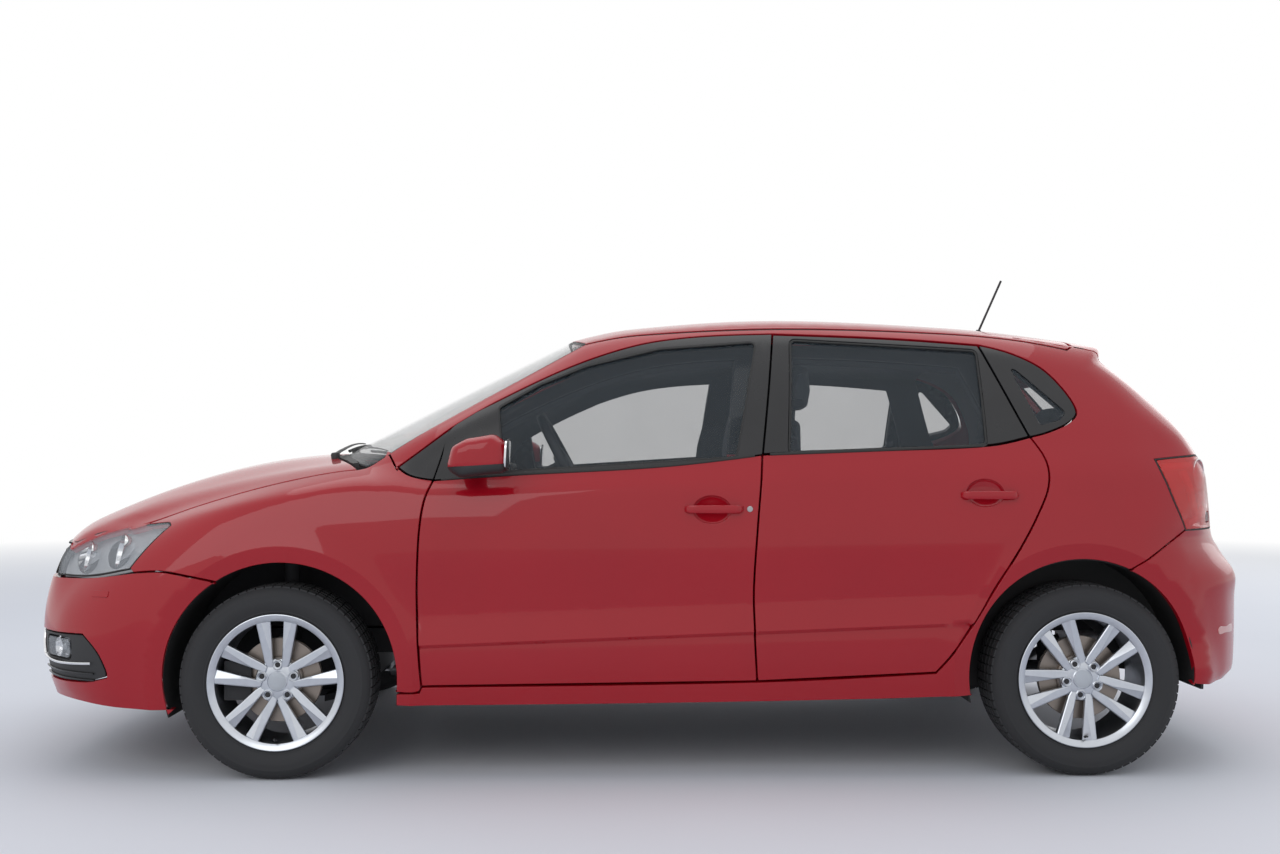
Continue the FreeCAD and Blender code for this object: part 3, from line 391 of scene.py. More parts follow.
class Wrap:
    """Rays square to an upright axis, for pieces that wrap round the nose or tail."""

    RADIUS = 700.0

    def __init__(self, axis_x: float, forward: int) -> None:
        """Keep the axis.

        Args:
            axis_x: Where the axis stands on the car's centre line.
            forward: -1 to look at the nose, 1 at the tail.
        """
        self.axis_x = axis_x
        self.forward = forward

    def flatten(self, p: Array) -> Array:
        """Points of space on the unrolled plane."""
        angle = np.arctan2(p[:, 1], (p[:, 0] - self.axis_x) * self.forward)
        return np.stack([angle * self.RADIUS * self.forward, p[:, 2]], axis=1)

    def lift(self, flat: Array, level: float | Array = 0.0, centre: Array | None = None) -> Array:
        """Points of the unrolled plane raised to the skin."""
        angle = flat[:, 0] / self.RADIUS * self.forward
        out = np.stack([np.cos(angle) * self.forward, np.sin(angle), np.zeros(len(flat))], axis=1)
        axis = np.stack([np.full(len(flat), self.axis_x), np.zeros(len(flat)), flat[:, 1]], axis=1)
        reach = 1150.0
        return SKIN.hit(axis + out * reach, -out, reach, level)


View = Slant | Wrap
FROM_SIDE = Slant((0, -1, 0))
FROM_ABOVE = Slant((0, 0, -1))
FROM_SHOULDER = Slant((0, -0.85, -0.53))
FROM_LAMP = Slant((0.62, -0.55, -0.56))
FROM_BEHIND = Slant((-0.75, 0, -0.66))
TAIL_LAMP_VIEW = Slant((-0.66, -0.75, 0))
NOSE_WRAP = Wrap(-1200.0, -1)
TAIL_WRAP = Wrap(1200.0, 1)


def on_skin(points: Array, view: View = FROM_SIDE) -> Array:
    """Rough points moved onto the skin along a view's rays."""
    return view.lift(view.flatten(points), 0.0, points.mean(axis=0))


def line(points: Sequence[Point], view: View = FROM_SIDE, spacing: float = 12.0) -> Array:
    """A smooth line through rough points (x, y, z), laid on the skin."""
    return on_skin(spline(points, spacing), view)


def traced(view: View, *runs: Sequence[Point]) -> Array:
    """Smooth lines joined end to end, all laid on the skin by one view."""
    return chain(*(line(run, view) for run in runs))


# Flat loops

def offset_loop(loop: Array, distance: float) -> Array:
    """A closed flat loop moved to its left by a distance."""
    before = loop - np.roll(loop, 1, axis=0)
    after = np.roll(loop, -1, axis=0) - loop
    before /= np.linalg.norm(before, axis=1, keepdims=True)
    after /= np.linalg.norm(after, axis=1, keepdims=True)
    n0 = np.stack([-before[:, 1], before[:, 0]], axis=1)
    n1 = np.stack([-after[:, 1], after[:, 0]], axis=1)
    scale = 1.0 + np.sum(n0 * n1, axis=1, keepdims=True)
    return loop + distance * (n0 + n1) / np.maximum(scale, 0.35)


def signed_area(loop: Array) -> float:
    """Twice the signed area of a flat loop, positive when it runs counterclockwise."""
    x, y = loop.T
    return float(np.sum(x * np.roll(y, -1) - y * np.roll(x, -1)))


def inside_loops(points: Array, loops: Sequence[Array]) -> Array:
    """Whether each flat point lies inside an odd number of loops."""
    inside = np.zeros(len(points), bool)
    px, py = points[:, 0], points[:, 1]
    for loop in loops:
        nxt = np.roll(loop, -1, axis=0)
        for (x0, y0), (x1, y1) in zip(loop, nxt):
            if y0 == y1:
                continue
            crosses = (y0 > py) != (y1 > py)
            inside ^= crosses & (px < (x1 - x0) * (py - y0) / (y1 - y0) + x0)
    return inside


def triangulate(loops: Sequence[Array], step: float, marks: Sequence[Array] = ()) -> tuple[Array, Array]:
    """Even triangles inside flat loops.

    Args:
        loops: The outline and any openings.
        step: Distance between inner points.
        marks: Flat lines that keep edges of their own, for creases and rims of recesses.
    Returns:
        Flat points, and triangles that run counterclockwise.
    """
    border = np.concatenate(loops)
    low, high = border.min(axis=0), border.max(axis=0)
    rows = []
    for k, v in enumerate(np.arange(low[1] + step / 2, high[1], step * 0.87)):
        u = np.arange(low[0] + step * (0.25 + 0.5 * (k % 2)), high[0], step)
        rows.append(np.stack([u, np.full(len(u), v)], axis=1))
    inner = np.concatenate(rows) if rows else np.zeros((0, 2))
    inner = inner[inside_loops(inner, loops)]
    if len(inner):
        far = np.array([np.min(np.sum((border - p) ** 2, axis=1)) for p in inner]) > (0.6 * step) ** 2
        inner = inner[far]
    edges = []
    start = 0
    for loop in loops:
        count = len(loop)
        edges += [(start + i, start + (i + 1) % count) for i in range(count)]
        start += count
    kept = [border]
    for mark in marks:
        clear = np.array([np.min(np.sum((border - p) ** 2, axis=1)) for p in mark]) > 9.0
        clear &= inside_loops(mark, loops)
        place = np.cumsum(clear) - 1 + start
        edges += [(int(place[i]), int(place[i + 1]))
                  for i in range(len(mark) - 1) if clear[i] and clear[i + 1]]
        mark = mark[clear]
        if len(mark) and len(inner):
            near = np.array([np.min(np.sum((mark - p) ** 2, axis=1)) for p in inner]) < (0.4 * step) ** 2
            inner = inner[~near]
        kept.append(mark)
        start += len(mark)
    points = [Vector(p) for p in np.concatenate([*kept, inner])]
    verts, _, faces, *_ = delaunay_2d_cdt(points, edges, [], 0, 1e-4)
    flat = np.array([tuple(v) for v in verts])
    tris = np.array([f for f in faces if len(f) == 3])
    centres = flat[tris].mean(axis=1)
    tris = tris[inside_loops(centres, loops)]
    a, b, c = flat[tris[:, 0]], flat[tris[:, 1]], flat[tris[:, 2]]
    turn = (b[:, 0] - a[:, 0]) * (c[:, 1] - a[:, 1]) - (b[:, 1] - a[:, 1]) * (c[:, 0] - a[:, 0])
    tris = tris[np.abs(turn) > 1e-6]
    turn = turn[np.abs(turn) > 1e-6]
    tris = np.where((turn < 0)[:, None], tris[:, ::-1], tris)
    return flat, tris


# Meshes

@dataclass
class Shape:
    """Faces with a normal for each corner, in millimetres."""

    points: list[Array] = field(default_factory=list)
    faces: list[tuple[int, ...]] = field(default_factory=list)
    corners: list[Array] = field(default_factory=list)
    count: int = 0

    def add(self, points: Array, faces: Iterable[Sequence[int]], normals: Array) -> None:
        """Add points with one normal each, and faces on them."""
        for f in faces:
            self.faces.append(tuple(int(i) + self.count for i in f))
            self.corners.extend(normals[i] for i in f)
        self.points.append(points)
        self.count += len(points)

    def mirrored(self) -> "Shape":
        """The same faces on the other side of the car."""
        flip = np.array((1.0, -1.0, 1.0))
        made = Shape([p * flip for p in self.points], [], [], self.count)
        at = 0
        for f in self.faces:
            made.faces.append(tuple(reversed(f)))
            made.corners.extend(c * flip for c in reversed(self.corners[at:at + len(f)]))
            at += len(f)
        return made


def welded_mesh(name: str, points: Array, faces: Sequence[Sequence[int]], corners: Array | None,
                smooth: bool = True) -> bpy.types.Mesh:
    """A mesh in metres with doubles merged and corner normals set.

    Args:
        name: Name of the mesh.
        points: Points in millimetres.
        faces: Faces as indices.
        corners: A normal for each face corner, or None for the mesh's own.
        smooth: Whether the faces are smooth.
    Returns:
        The mesh.
    """
    _, first, back = np.unique(np.round(points, 2), axis=0, return_index=True, return_inverse=True)
    back = back.reshape(-1)
    kept_faces = []
    kept_corners = []
    at = 0
    for f in faces:
        joined = [int(back[i]) for i in f]
        if len(set(joined)) == len(joined):
            kept_faces.append(joined)
            if corners is not None:
                kept_corners.extend(corners[at:at + len(f)])
        at += len(f)
    mesh = bpy.data.meshes.new(name)
    mesh.from_pydata((points[first] * MM).tolist(), [], kept_faces)
    mesh.update()
    if smooth:
        mesh.shade_smooth()
    if corners is not None:
        mesh.normals_split_custom_set([tuple(c) for c in kept_corners])
    return mesh


def panel(outline: Array, openings: Sequence[Array] = (), view: View = FROM_SIDE, depth: float = 14.0,
          level: float = 0.0, gap: float = SHUT_GAP / 2, step: float = 22.0, edge: float = 2.0,
          dent: Callable[[Array], Array] | None = None, marks: Sequence[Array] = ()) -> Shape:
    """A closed panel whose face lies on the skin inside an outline.

    Args:
        outline: Closed line of points near the skin.
        openings: Closed lines cut out of it.
        view: Rays that carry the flat outline onto the skin.
        depth: Thickness, or depth of the turned edge.
        level: Height of the face over the skin.
        gap: How far the face stays inside its lines.
        step: Distance between inner points.
        edge: Radius of the rounded rim.
        dent: Extra height for given points, for recesses and lips.
        marks: Lines near the skin along which the face keeps edges.
    Returns:
        The closed shape.
    """
    centre = outline.mean(axis=0)
    loops = []
    for i, loop in enumerate((outline, *openings)):
        flat = view.flatten(loop)
        if signed_area(flat) < 0:
            flat = flat[::-1]
        loops.append(offset_loop(flat, gap + edge if i == 0 else -gap - edge))
    flat, tris = triangulate(loops, step, [view.flatten(mark) for mark in marks])
    p = view.lift(flat, level, centre)
    n = SKIN.normals(p)
    if dent is not None:
        p, n = dented(p, n, dent)
    a, b, c = p[tris[:, 0]], p[tris[:, 1]], p[tris[:, 2]]
    facing = np.sum(np.cross(b - a, c - a) * n[tris[:, 0]], axis=1)
    if np.sum(facing) < 0:
        tris = tris[:, ::-1]
    return thickened(p, n, tris, depth, edge)


def dented(p: Array, n: Array, dent: Callable[[Array], Array]) -> tuple[Array, Array]:
    """Points moved along their normals by a height, with normals that follow its slope.

    Args:
        p: Points of the face.
        n: Their normals.
        dent: Height for given points.
    Returns:
        The moved points and their normals.
    """
    reach = 1.2
    first = np.cross(n, (0.0, 0.0, 1.0))
    first /= np.maximum(np.linalg.norm(first, axis=1, keepdims=True), 1e-6)
    second = np.cross(n, first)
    tilted = n.copy()
    for way in (first, second):
        slope = (dent(p + way * reach) - dent(p - way * reach)) / (2 * reach)
        tilted -= way * slope[:, None]
    tilted /= np.linalg.norm(tilted, axis=1, keepdims=True)
    return p + n * dent(p)[:, None], tilted


def thickened(p: Array, n: Array, tris: Array, depth: float, edge: float) -> Shape:
    """A closed shell from a face: its face, a rounded rim, walls and a back.

    Args:
        p: Points of the face.
        n: Their outward normals.
        tris: Triangles that face outwards.
        depth: Thickness.
        edge: Radius of the rim.
    Returns:
        The closed shape.
    """
    shape = Shape()
    shape.add(p, tris, n)
    rim: dict[int, int] = {}
    half = set()
    for t in tris:
        for i, j in ((t[0], t[1]), (t[1], t[2]), (t[2], t[0])):
            half.add((int(i), int(j)))
    for i, j in half:
        if (j, i) not in half:
            rim[i] = j
    if not rim:
        return shape
    order = list(rim)
    before = {j: i for i, j in rim.items()}
    out = np.zeros((len(order), 3))
    for k, i in enumerate(order):
        ahead = p[rim[i]] - p[before.get(i, i)]
        side = np.cross(ahead, n[i])
        out[k] = side / max(np.linalg.norm(side), 1e-9)
    at = {i: k for k, i in enumerate(order)}
    top = p[order]
    up = n[order]
    shoulder = top + out * edge - up * edge
    foot = top + out * edge - up * depth
    ring = [(at[i], at[j]) for i, j in rim.items() if j in at]
    count = len(order)
    quads = [(a, a + count, b + count, b) for a, b in ring]
    shape.add(np.concatenate([top, shoulder]), quads, np.concatenate([up, out]))
    shape.add(np.concatenate([shoulder, foot]), quads, np.concatenate([out, out]))
    back = p - n * depth
    back[order] = foot
    shape.add(back, tris[:, ::-1], -n)
    return shape


# Solid forms

def frame_of(axis: Point) -> tuple[Array, Array, Array]:
    """Two unit vectors square to an axis, and the axis itself."""
    w = np.array(axis, float)
    w /= np.linalg.norm(w)
    u = np.cross(w, (0.0, 0.0, 1.0) if abs(w[2]) < 0.9 else (1.0, 0.0, 0.0))
    u /= np.linalg.norm(u)
    return u, np.cross(w, u), w


def rounded_box(width: float, height: float, radius: float, steps: int = 4) -> Array:
    """A flat rounded rectangle about its middle."""
    angles = np.linspace(0.0, math.pi / 2, steps + 1)
    corners = []
    for k, (sx, sy) in enumerate(((1, 1), (-1, 1), (-1, -1), (1, -1))):
        turn = angles + k * math.pi / 2
        corners.append(np.stack([sx * (width / 2 - radius) + radius * np.cos(turn),
                                 sy * (height / 2 - radius) + radius * np.sin(turn)], axis=1))
    return np.concatenate(corners)


def lay(flat: Array, at: Sequence[float], right: Sequence[float], up: Sequence[float]) -> Array:
    """A flat loop placed in space."""
    return np.array(at, float) + flat[:, :1] * np.array(right, float) + flat[:, 1:] * np.array(up, float)


class Mould:
    """Closed forms in millimetres that become one piece."""

    def __init__(self) -> None:
        """Start empty."""
        self.points: list[Array] = []
        self.faces: list[tuple[int, ...]] = []
        self.count = 0

    def loft(self, sections: Sequence[Array], ring: bool = False) -> "Mould":
        """Add a skin through equal loops, capped unless it closes on itself.

        Args:
            sections: Loops with one count of points.
            ring: Whether the last loop joins the first.
        Returns:
            The mould.
        """
        rows, n = len(sections), len(sections[0])
        at = self.count
        for r in range(rows if ring else rows - 1):
            a, b = at + r * n, at + (r + 1) % rows * n
            self.faces += [(a + i, a + (i + 1) % n, b + (i + 1) % n, b + i) for i in range(n)]
        if not ring:
            self.faces += [tuple(range(at, at + n))[::-1], tuple(range(at + (rows - 1) * n, at + rows * n))]
        self.points += [np.asarray(s, float) for s in sections]
        self.count += rows * n
        return self

    def turn(self, profile: Sequence[tuple[float, float]], centre: Point = (0, 0, 0), axis: Point = (0, 1, 0),
             steps: int = 64) -> "Mould":
        """Add a closed outline of (radius, height) points turned about an axis."""
        u, v, w = frame_of(axis)
        shape = np.array(profile, float)
        rings = []
        for k in range(steps):
            t = 2 * math.pi * k / steps
            spoke = u * math.cos(t) + v * math.sin(t)
            rings.append(np.array(centre) + shape[:, :1] * spoke + shape[:, 1:] * w)
        return self.loft(rings, ring=True)

    def tube(self, path: Sequence[Point] | Array, radius: float | Sequence[float], sides: int = 10,
             flat: float = 1.0, closed: bool = False) -> "Mould":
        """Add a round or flattened bar along a path.

        Args:
            path: Points of its middle line.
            radius: One radius, or one for each point.
            sides: Sides of its section.
            flat: Height of the section over its width.
            closed: Whether the path is a loop.
        Returns:
            The mould.
        """
        line3 = np.array(path, float)
        radii = np.broadcast_to(np.array(radius, float), (len(line3),))
        ahead = np.roll(line3, -1, axis=0) - np.roll(line3, 1, axis=0)
        if not closed:
            ahead[0], ahead[-1] = line3[1] - line3[0], line3[-1] - line3[-2]
        u = frame_of(ahead[0])[0]
        loops = []
        for p, d, r in zip(line3, ahead, radii):
            d = d / np.linalg.norm(d)
            u = u - d * (u @ d)
            u /= np.linalg.norm(u)
            v = np.cross(d, u)
            t = np.linspace(0, 2 * math.pi, sides, endpoint=False)[:, None]
            loops.append(p + r * (np.cos(t) * u + flat * np.sin(t) * v))
        return self.loft(loops, ring=closed)

    def bar(self, line3: Array, section: Array, closed: bool = False) -> "Mould":
        """Add a flat section, drawn as (sideways, outwards), swept along a line on the skin."""
        up = SKIN.normals(line3)
        ahead = np.roll(line3, -1, axis=0) - np.roll(line3, 1, axis=0)
        if not closed:
            ahead[0], ahead[-1] = line3[1] - line3[0], line3[-1] - line3[-2]
        ahead /= np.linalg.norm(ahead, axis=1, keepdims=True)
        side = np.cross(ahead, up)
        side /= np.linalg.norm(side, axis=1, keepdims=True)
        return self.loft([lay(section, p, s, n) for p, s, n in zip(line3, side, up)], ring=closed)

    def block(self, centre: Point, size: Point, radius: float = 4.0) -> "Mould":
        """Add a box with rounded upright edges and softened ends."""
        x, y, z = size
        r = min(radius, 0.45 * min(x, y))
        lift = min(r, z * 0.3)
        sections = []
        for h, inset in ((-z / 2, lift), (-z / 2 + lift, 0.0), (z / 2 - lift, 0.0), (z / 2, lift)):
            loop = rounded_box(x - 2 * inset, y - 2 * inset, max(r - inset, 0.3 * r))
            sections.append(lay(loop, (centre[0], centre[1], centre[2] + h), (1, 0, 0), (0, 1, 0)))
        return self.loft(sections)

    def moved(self, x: float = 0.0, y: float = 0.0, z: float = 0.0, side: int = 1) -> "Mould":
        """A copy moved, and mirrored across the middle of the car for the left side."""
        made = Mould()
        made.points = [(p + (x, y, z)) * (1.0, float(side), 1.0) for p in self.points]
        made.faces = [f[::-1] for f in self.faces] if side < 0 else list(self.faces)
        made.count = self.count
        return made

    def add(self, other: "Mould") -> "Mould":
        """Add another mould's forms."""
        self.faces += [tuple(i + self.count for i in f) for f in other.faces]
        self.points += other.points
        self.count += other.count
        return self

    def mesh(self, angle: float = 35.0) -> bpy.types.Mesh:
        """One mesh in metres, smooth but for edges sharper than an angle."""
        made = bpy.data.meshes.new("form")
        made.from_pydata((np.concatenate(self.points) * MM).tolist(), [], self.faces)
        edit = bmesh.new()
        edit.from_mesh(made)
        bmesh.ops.remove_doubles(edit, verts=edit.verts, dist=5e-6)
        bmesh.ops.dissolve_degenerate(edit, edges=edit.edges, dist=1e-6)
        bmesh.ops.recalc_face_normals(edit, faces=edit.faces)
        edit.to_mesh(made)
        edit.free()
        made.shade_smooth()
        made.set_sharp_from_angle(angle=math.radians(angle))
        return made


class Repeater:
    """Geometry Nodes that repeat a mesh by a step, a turn about the Y axis, or both."""

    INPUTS = (("Part", "NodeSocketObject"), ("Count", "NodeSocketInt"), ("Step", "NodeSocketVector"),
              ("Turn", "NodeSocketFloat"), ("Finish", "NodeSocketMaterial"))
    _tree: bpy.types.NodeTree | None = None

    @classmethod
    def tree(cls) -> bpy.types.NodeTree:
        """The node tree, built once."""
        if cls._tree is None:
            tree = bpy.data.node_groups.new("repeat", "GeometryNodeTree")
            tree.interface.new_socket("Geometry", in_out="INPUT", socket_type="NodeSocketGeometry")
            for name, kind in cls.INPUTS:
                tree.interface.new_socket(name, in_out="INPUT", socket_type=kind)
            tree.interface.new_socket("Geometry", in_out="OUTPUT", socket_type="NodeSocketGeometry")

            def node(kind: str, settings: dict[str, object], links: dict[str, object]) -> bpy.types.Node:
                """One node with its settings and incoming links."""
                made = tree.nodes.new(kind)
                for key, value in settings.items():
                    setattr(made, key, value)
                for key, socket in links.items():
                    tree.links.new(socket, made.inputs[key])
                return made

            given = tree.nodes.new("NodeGroupInput").outputs
            index = tree.nodes.new("GeometryNodeInputIndex").outputs[0]
            travel = node("ShaderNodeVectorMath", {"operation": "SCALE"},
                          {"Vector": given["Step"], "Scale": index})
            angle = node("ShaderNodeMath", {"operation": "MULTIPLY"}, {0: index, 1: given["Turn"]})
            euler = node("ShaderNodeCombineXYZ", {}, {"Y": angle.outputs[0]})
            spots = node("GeometryNodePoints", {}, {"Count": given["Count"], "Position": travel.outputs[0]})
            part = node("GeometryNodeObjectInfo", {}, {"Object": given["Part"]})
            copies = node("GeometryNodeInstanceOnPoints", {}, {
                "Points": spots.outputs[0], "Instance": part.outputs["Geometry"],
                "Rotation": euler.outputs[0]})
            real = node("GeometryNodeRealizeInstances", {}, {"Geometry": copies.outputs[0]})
            dressed = node("GeometryNodeSetMaterial", {},
                           {"Geometry": real.outputs[0], "Material": given["Finish"]})
            node("NodeGroupOutput", {}, {"Geometry": dressed.outputs[0]})
            cls._tree = tree
        return cls._tree

    @classmethod
    def repeat(cls, part: bpy.types.Mesh, count: int, step: Point, turn: float,
               finish: object) -> bpy.types.Mesh:
        """Copies of a mesh joined into one plain mesh.

        Args:
            part: Mesh in metres; it turns about its own origin.
            count: Number of copies.
            step: Travel from one copy to the next, in millimetres.
            turn: Turn from one copy to the next, in degrees.
            finish: Finish of the copies.
        Returns:
            The joined mesh.
        """
        source = bpy.data.objects.new("repeated part", part)
        holder = bpy.data.objects.new("repeat", bpy.data.meshes.new("repeat"))
        for item in (source, holder):
            bpy.context.scene.collection.objects.link(item)
        values = {"Part": source, "Count": count, "Step": tuple(Vector(step) * MM),
                  "Turn": math.radians(turn), "Finish": Finishes.get(finish)}
        modifier = holder.modifiers.new("repeat", "NODES")
        modifier.node_group = cls.tree()
        for item in cls.tree().interface.items_tree:
            if item.in_out == "INPUT" and item.name in values:
                modifier[item.identifier] = values[item.name]
        holder.update_tag()
        graph = bpy.context.evaluated_depsgraph_get()
        made = bpy.data.meshes.new_from_object(holder.evaluated_get(graph))
        holder.modifiers.clear()
        for item in (source, holder):
            bpy.data.objects.remove(item)
        return made


# Shader maths and finishes

class Sum:
    """A shader socket that takes part in Python expressions."""

    def __init__(self, tree: "Sheet", socket: bpy.types.NodeSocket) -> None:
        """Keep the socket and the sheet that it belongs to."""
        self.tree = tree
        self.socket = socket

    def _with(self, operation: str, first: object, second: object) -> "Sum":
        """One Math node on two operands."""
        return self.tree.node("ShaderNodeMath", {"operation": operation}, {0: first, 1: second})

    def __add__(self, other: object) -> "Sum":
        """Sum with a socket or number."""
        return self._with("ADD", self, other)

    __radd__ = __add__

    def __mul__(self, other: object) -> "Sum":
        """Product with a socket or number."""
        return self._with("MULTIPLY", self, other)

    __rmul__ = __mul__

    def __sub__(self, other: object) -> "Sum":
        """Difference from this."""
        return self._with("SUBTRACT", self, other)

    def __rsub__(self, other: object) -> "Sum":
        """Difference from a number."""
        return self._with("SUBTRACT", other, self)

    def __gt__(self, other: object) -> "Sum":
        """1 where this is larger."""
        return self._with("GREATER_THAN", self, other)

    def __lt__(self, other: object) -> "Sum":
        """1 where this is smaller."""
        return self._with("LESS_THAN", self, other)

    def __abs__(self) -> "Sum":
        """Size without sign."""
        return self._with("ABSOLUTE", self, 0.0)

    def clamp(self) -> "Sum":
        """This held between 0 and 1."""
        return self.tree.node("ShaderNodeClamp", {}, {0: self})


class Sheet:
    """The node tree of one material, or of the world."""

    def __init__(self, name: str, owner: bpy.types.World | None = None) -> None:
        """Make an empty material, or empty the world's tree."""
        self.material = owner or bpy.data.materials.new(name)
        self.material.use_nodes = True
        self.nodes = self.material.node_tree.nodes
        self.links = self.material.node_tree.links
        self.nodes.clear()

    def node(self, kind: str, settings: dict[str, object], inputs: dict[object, object],
             output: int | str | None = 0) -> Sum | None:
        """One node of any type.

        Args:
            kind: The node's type.
            settings: Attributes set first; "stops" fills a colour ramp.
            inputs: Values or sockets by input index or name.
            output: The output to return, or None for a node without one.
        Returns:
            That output's socket.
        """
        made = self.nodes.new(kind)
        for key, value in settings.items():
            if key == "stops":
                ramp = made.color_ramp
                while len(ramp.elements) < len(value):
                    ramp.elements.new(0.5)
                for element, (position, color) in zip(ramp.elements, value):
                    element.position = position
                    element.color = (*color, 1.0)
            else:
                setattr(made, key, value)
        for key, value in inputs.items():
            if isinstance(value, Sum):
                self.links.new(value.socket, made.inputs[key])
            else:
                made.inputs[key].default_value = value
        return None if output is None else Sum(self, made.outputs[output])

    def place(self, scale: float | Point = 1.0, turn: Point = (0.0, 0.0, 0.0)) -> Sum:
        """Object coordinates, scaled and turned."""
        spot = self.node("ShaderNodeTexCoord", {}, {}, "Object")
        size = (scale,) * 3 if isinstance(scale, (int, float)) else scale
        return self.node("ShaderNodeMapping", {}, {"Vector": spot, "Scale": size, "Rotation": turn})

    def height(self) -> Sum:
        """Height over the ground, in metres."""
        return self.node("ShaderNodeSeparateXYZ", {}, {0: self.place()}, "Z")

    def noise(self, scale: float, detail: float = 3.0, at: Sum | None = None) -> Sum:
        """Soft noise over the object, from 0 to 1."""
        return self.node("ShaderNodeTexNoise", {}, {"Vector": at or self.place(), "Scale": scale,
                                                    "Detail": detail}, 0)

    def blend(self, factor: object, first: object, second: object) -> Sum:
        """Two colours mixed by a factor."""
        made = self.nodes.new("ShaderNodeMix")
        made.data_type = "RGBA"
        for socket, value in ((made.inputs[0], factor), (made.inputs[6], first), (made.inputs[7], second)):
            if isinstance(value, Sum):
                self.links.new(value.socket, socket)
            elif isinstance(value, (int, float)):
                socket.default_value = value
            else:
                socket.default_value = (*value, 1.0)
        return Sum(self, made.outputs[2])

    def bump(self, height: Sum, strength: float, distance: float = 0.001) -> Sum:
        """A bumped normal from a height."""
        return self.node("ShaderNodeBump", {}, {"Height": height, "Strength": strength, "Distance": distance})

    def surface(self, inputs: dict[str, object], fade: Sum | None = None) -> bpy.types.Material:
        """Finish with a Principled surface and return the material.

        Args:
            inputs: Values or sockets of the surface, by input name.
            fade: How far the surface gives way to plain white.
        Returns:
            The material.
        """
        filled = {key: (*value, 1.0) if isinstance(value, tuple) and len(value) == 3 else value
                  for key, value in inputs.items()}
        shader = self.node("ShaderNodeBsdfPrincipled", {}, filled)
        if fade is not None:
            white = self.node("ShaderNodeEmission", {}, {})
            shader = self.node("ShaderNodeMixShader", {}, {0: fade, 1: shader, 2: white})
        self.node("ShaderNodeOutputMaterial", {}, {"Surface": shader}, None)
        return self.material


Colour = tuple[float, float, float]


BLACKENED = (0.014, 0.014, 0.015)


@dataclass(frozen=True)
class Paint:
    """Clear-coated body paint."""

    name: str
    colour: Colour
    slot: str = "paint"
    dark_over: float | None = None

    def material(self) -> bpy.types.Material:
        """Deep paint with faint unevenness under its clear coat, black over a given height."""
        sheet = Sheet(self.name)
        cloud = sheet.noise(3.0)
        deep = tuple(c * 0.86 for c in self.colour)
        colour = sheet.blend(cloud, deep, self.colour)
        if self.dark_over is not None:
            colour = sheet.blend(sheet.height() > self.dark_over, colour, BLACKENED)
        rough = sheet.noise(140.0) * 0.06 + 0.3
        return sheet.surface({"Base Color": colour, "Roughness": rough, "Coat Weight": 0.75,
                              "Coat Roughness": 0.03, "Specular IOR Level": 0.1})


@dataclass(frozen=True)
class Plastic:
    """Plain moulded plastic or rubber, grained or smooth."""

    name: str
    colour: Colour
    roughness: float
    slot: str
    grain: float = 900.0
    strength: float = 0.15

    def material(self) -> bpy.types.Material:
        """Slightly uneven colour with a fine grain."""
        sheet = Sheet(self.name)
        cloud = sheet.noise(9.0)
        fine = sheet.noise(self.grain, 2.0)
        pale = tuple(min(1.0, c * 1.35 + 0.004) for c in self.colour)
        colour = sheet.blend(cloud, self.colour, pale)
        return sheet.surface({"Base Color": colour, "Roughness": cloud * 0.12 + (self.roughness - 0.06),
                              "Normal": sheet.bump(fine, self.strength)})


@dataclass(frozen=True)
class Metal:
    """Bare, cast or plated metal."""

    name: str
    colour: Colour
    roughness: float
    slot: str
    scratch: float = 60.0

    def material(self) -> bpy.types.Material:
        """Metal with soft smudges in its sheen."""
        sheet = Sheet(self.name)
        cloud = sheet.noise(self.scratch)
        dull = tuple(c * 0.85 for c in self.colour)
        colour = sheet.blend(cloud, dull, self.colour)
        return sheet.surface({"Base Color": colour, "Metallic": 1.0,
                              "Roughness": cloud * 0.1 + (self.roughness - 0.05)})


@dataclass(frozen=True)
class Glass:
    """Tinted pane that shows what is behind it."""

    name: str
    colour: Colour
    alpha: float
    slot: str = "glass"
    roughness: float = 0.02

    def material(self) -> bpy.types.Material:
        """A thin see-through pane with clear reflections."""
        sheet = Sheet(self.name)
        cloud = sheet.noise(4.0)
        tint = sheet.blend(cloud, tuple(c * 0.9 for c in self.colour), self.colour)
        return sheet.surface({"Base Color": tint, "Roughness": self.roughness,
                              "Alpha": cloud * 0.04 + self.alpha, "Specular IOR Level": 0.6,
                              "Coat Weight": 0.5, "Coat Roughness": 0.01})


@dataclass(frozen=True)
class Cloth:
    """Woven seat cloth."""

    name: str
    colour: Colour
    pale: Colour
    slot: str = "seat_fabric"

    def material(self) -> bpy.types.Material:
        """A fine weave with soft sheen."""
        sheet = Sheet(self.name)
        spot = sheet.place(1.0)
        wave = {"wave_type": "BANDS", "bands_direction": "DIAGONAL"}
        warp = sheet.node("ShaderNodeTexWave", wave, {"Vector": spot, "Scale": 160.0, "Distortion": 1.5}, 1)
        cloud = sheet.noise(220.0, 2.0)
        weave = warp * 0.6 + cloud * 0.4
        colour = sheet.blend(weave, self.colour, self.pale)
        return sheet.surface({"Base Color": colour, "Roughness": 0.9, "Normal": sheet.bump(weave, 0.4),
                              "Sheen Weight": 0.2})


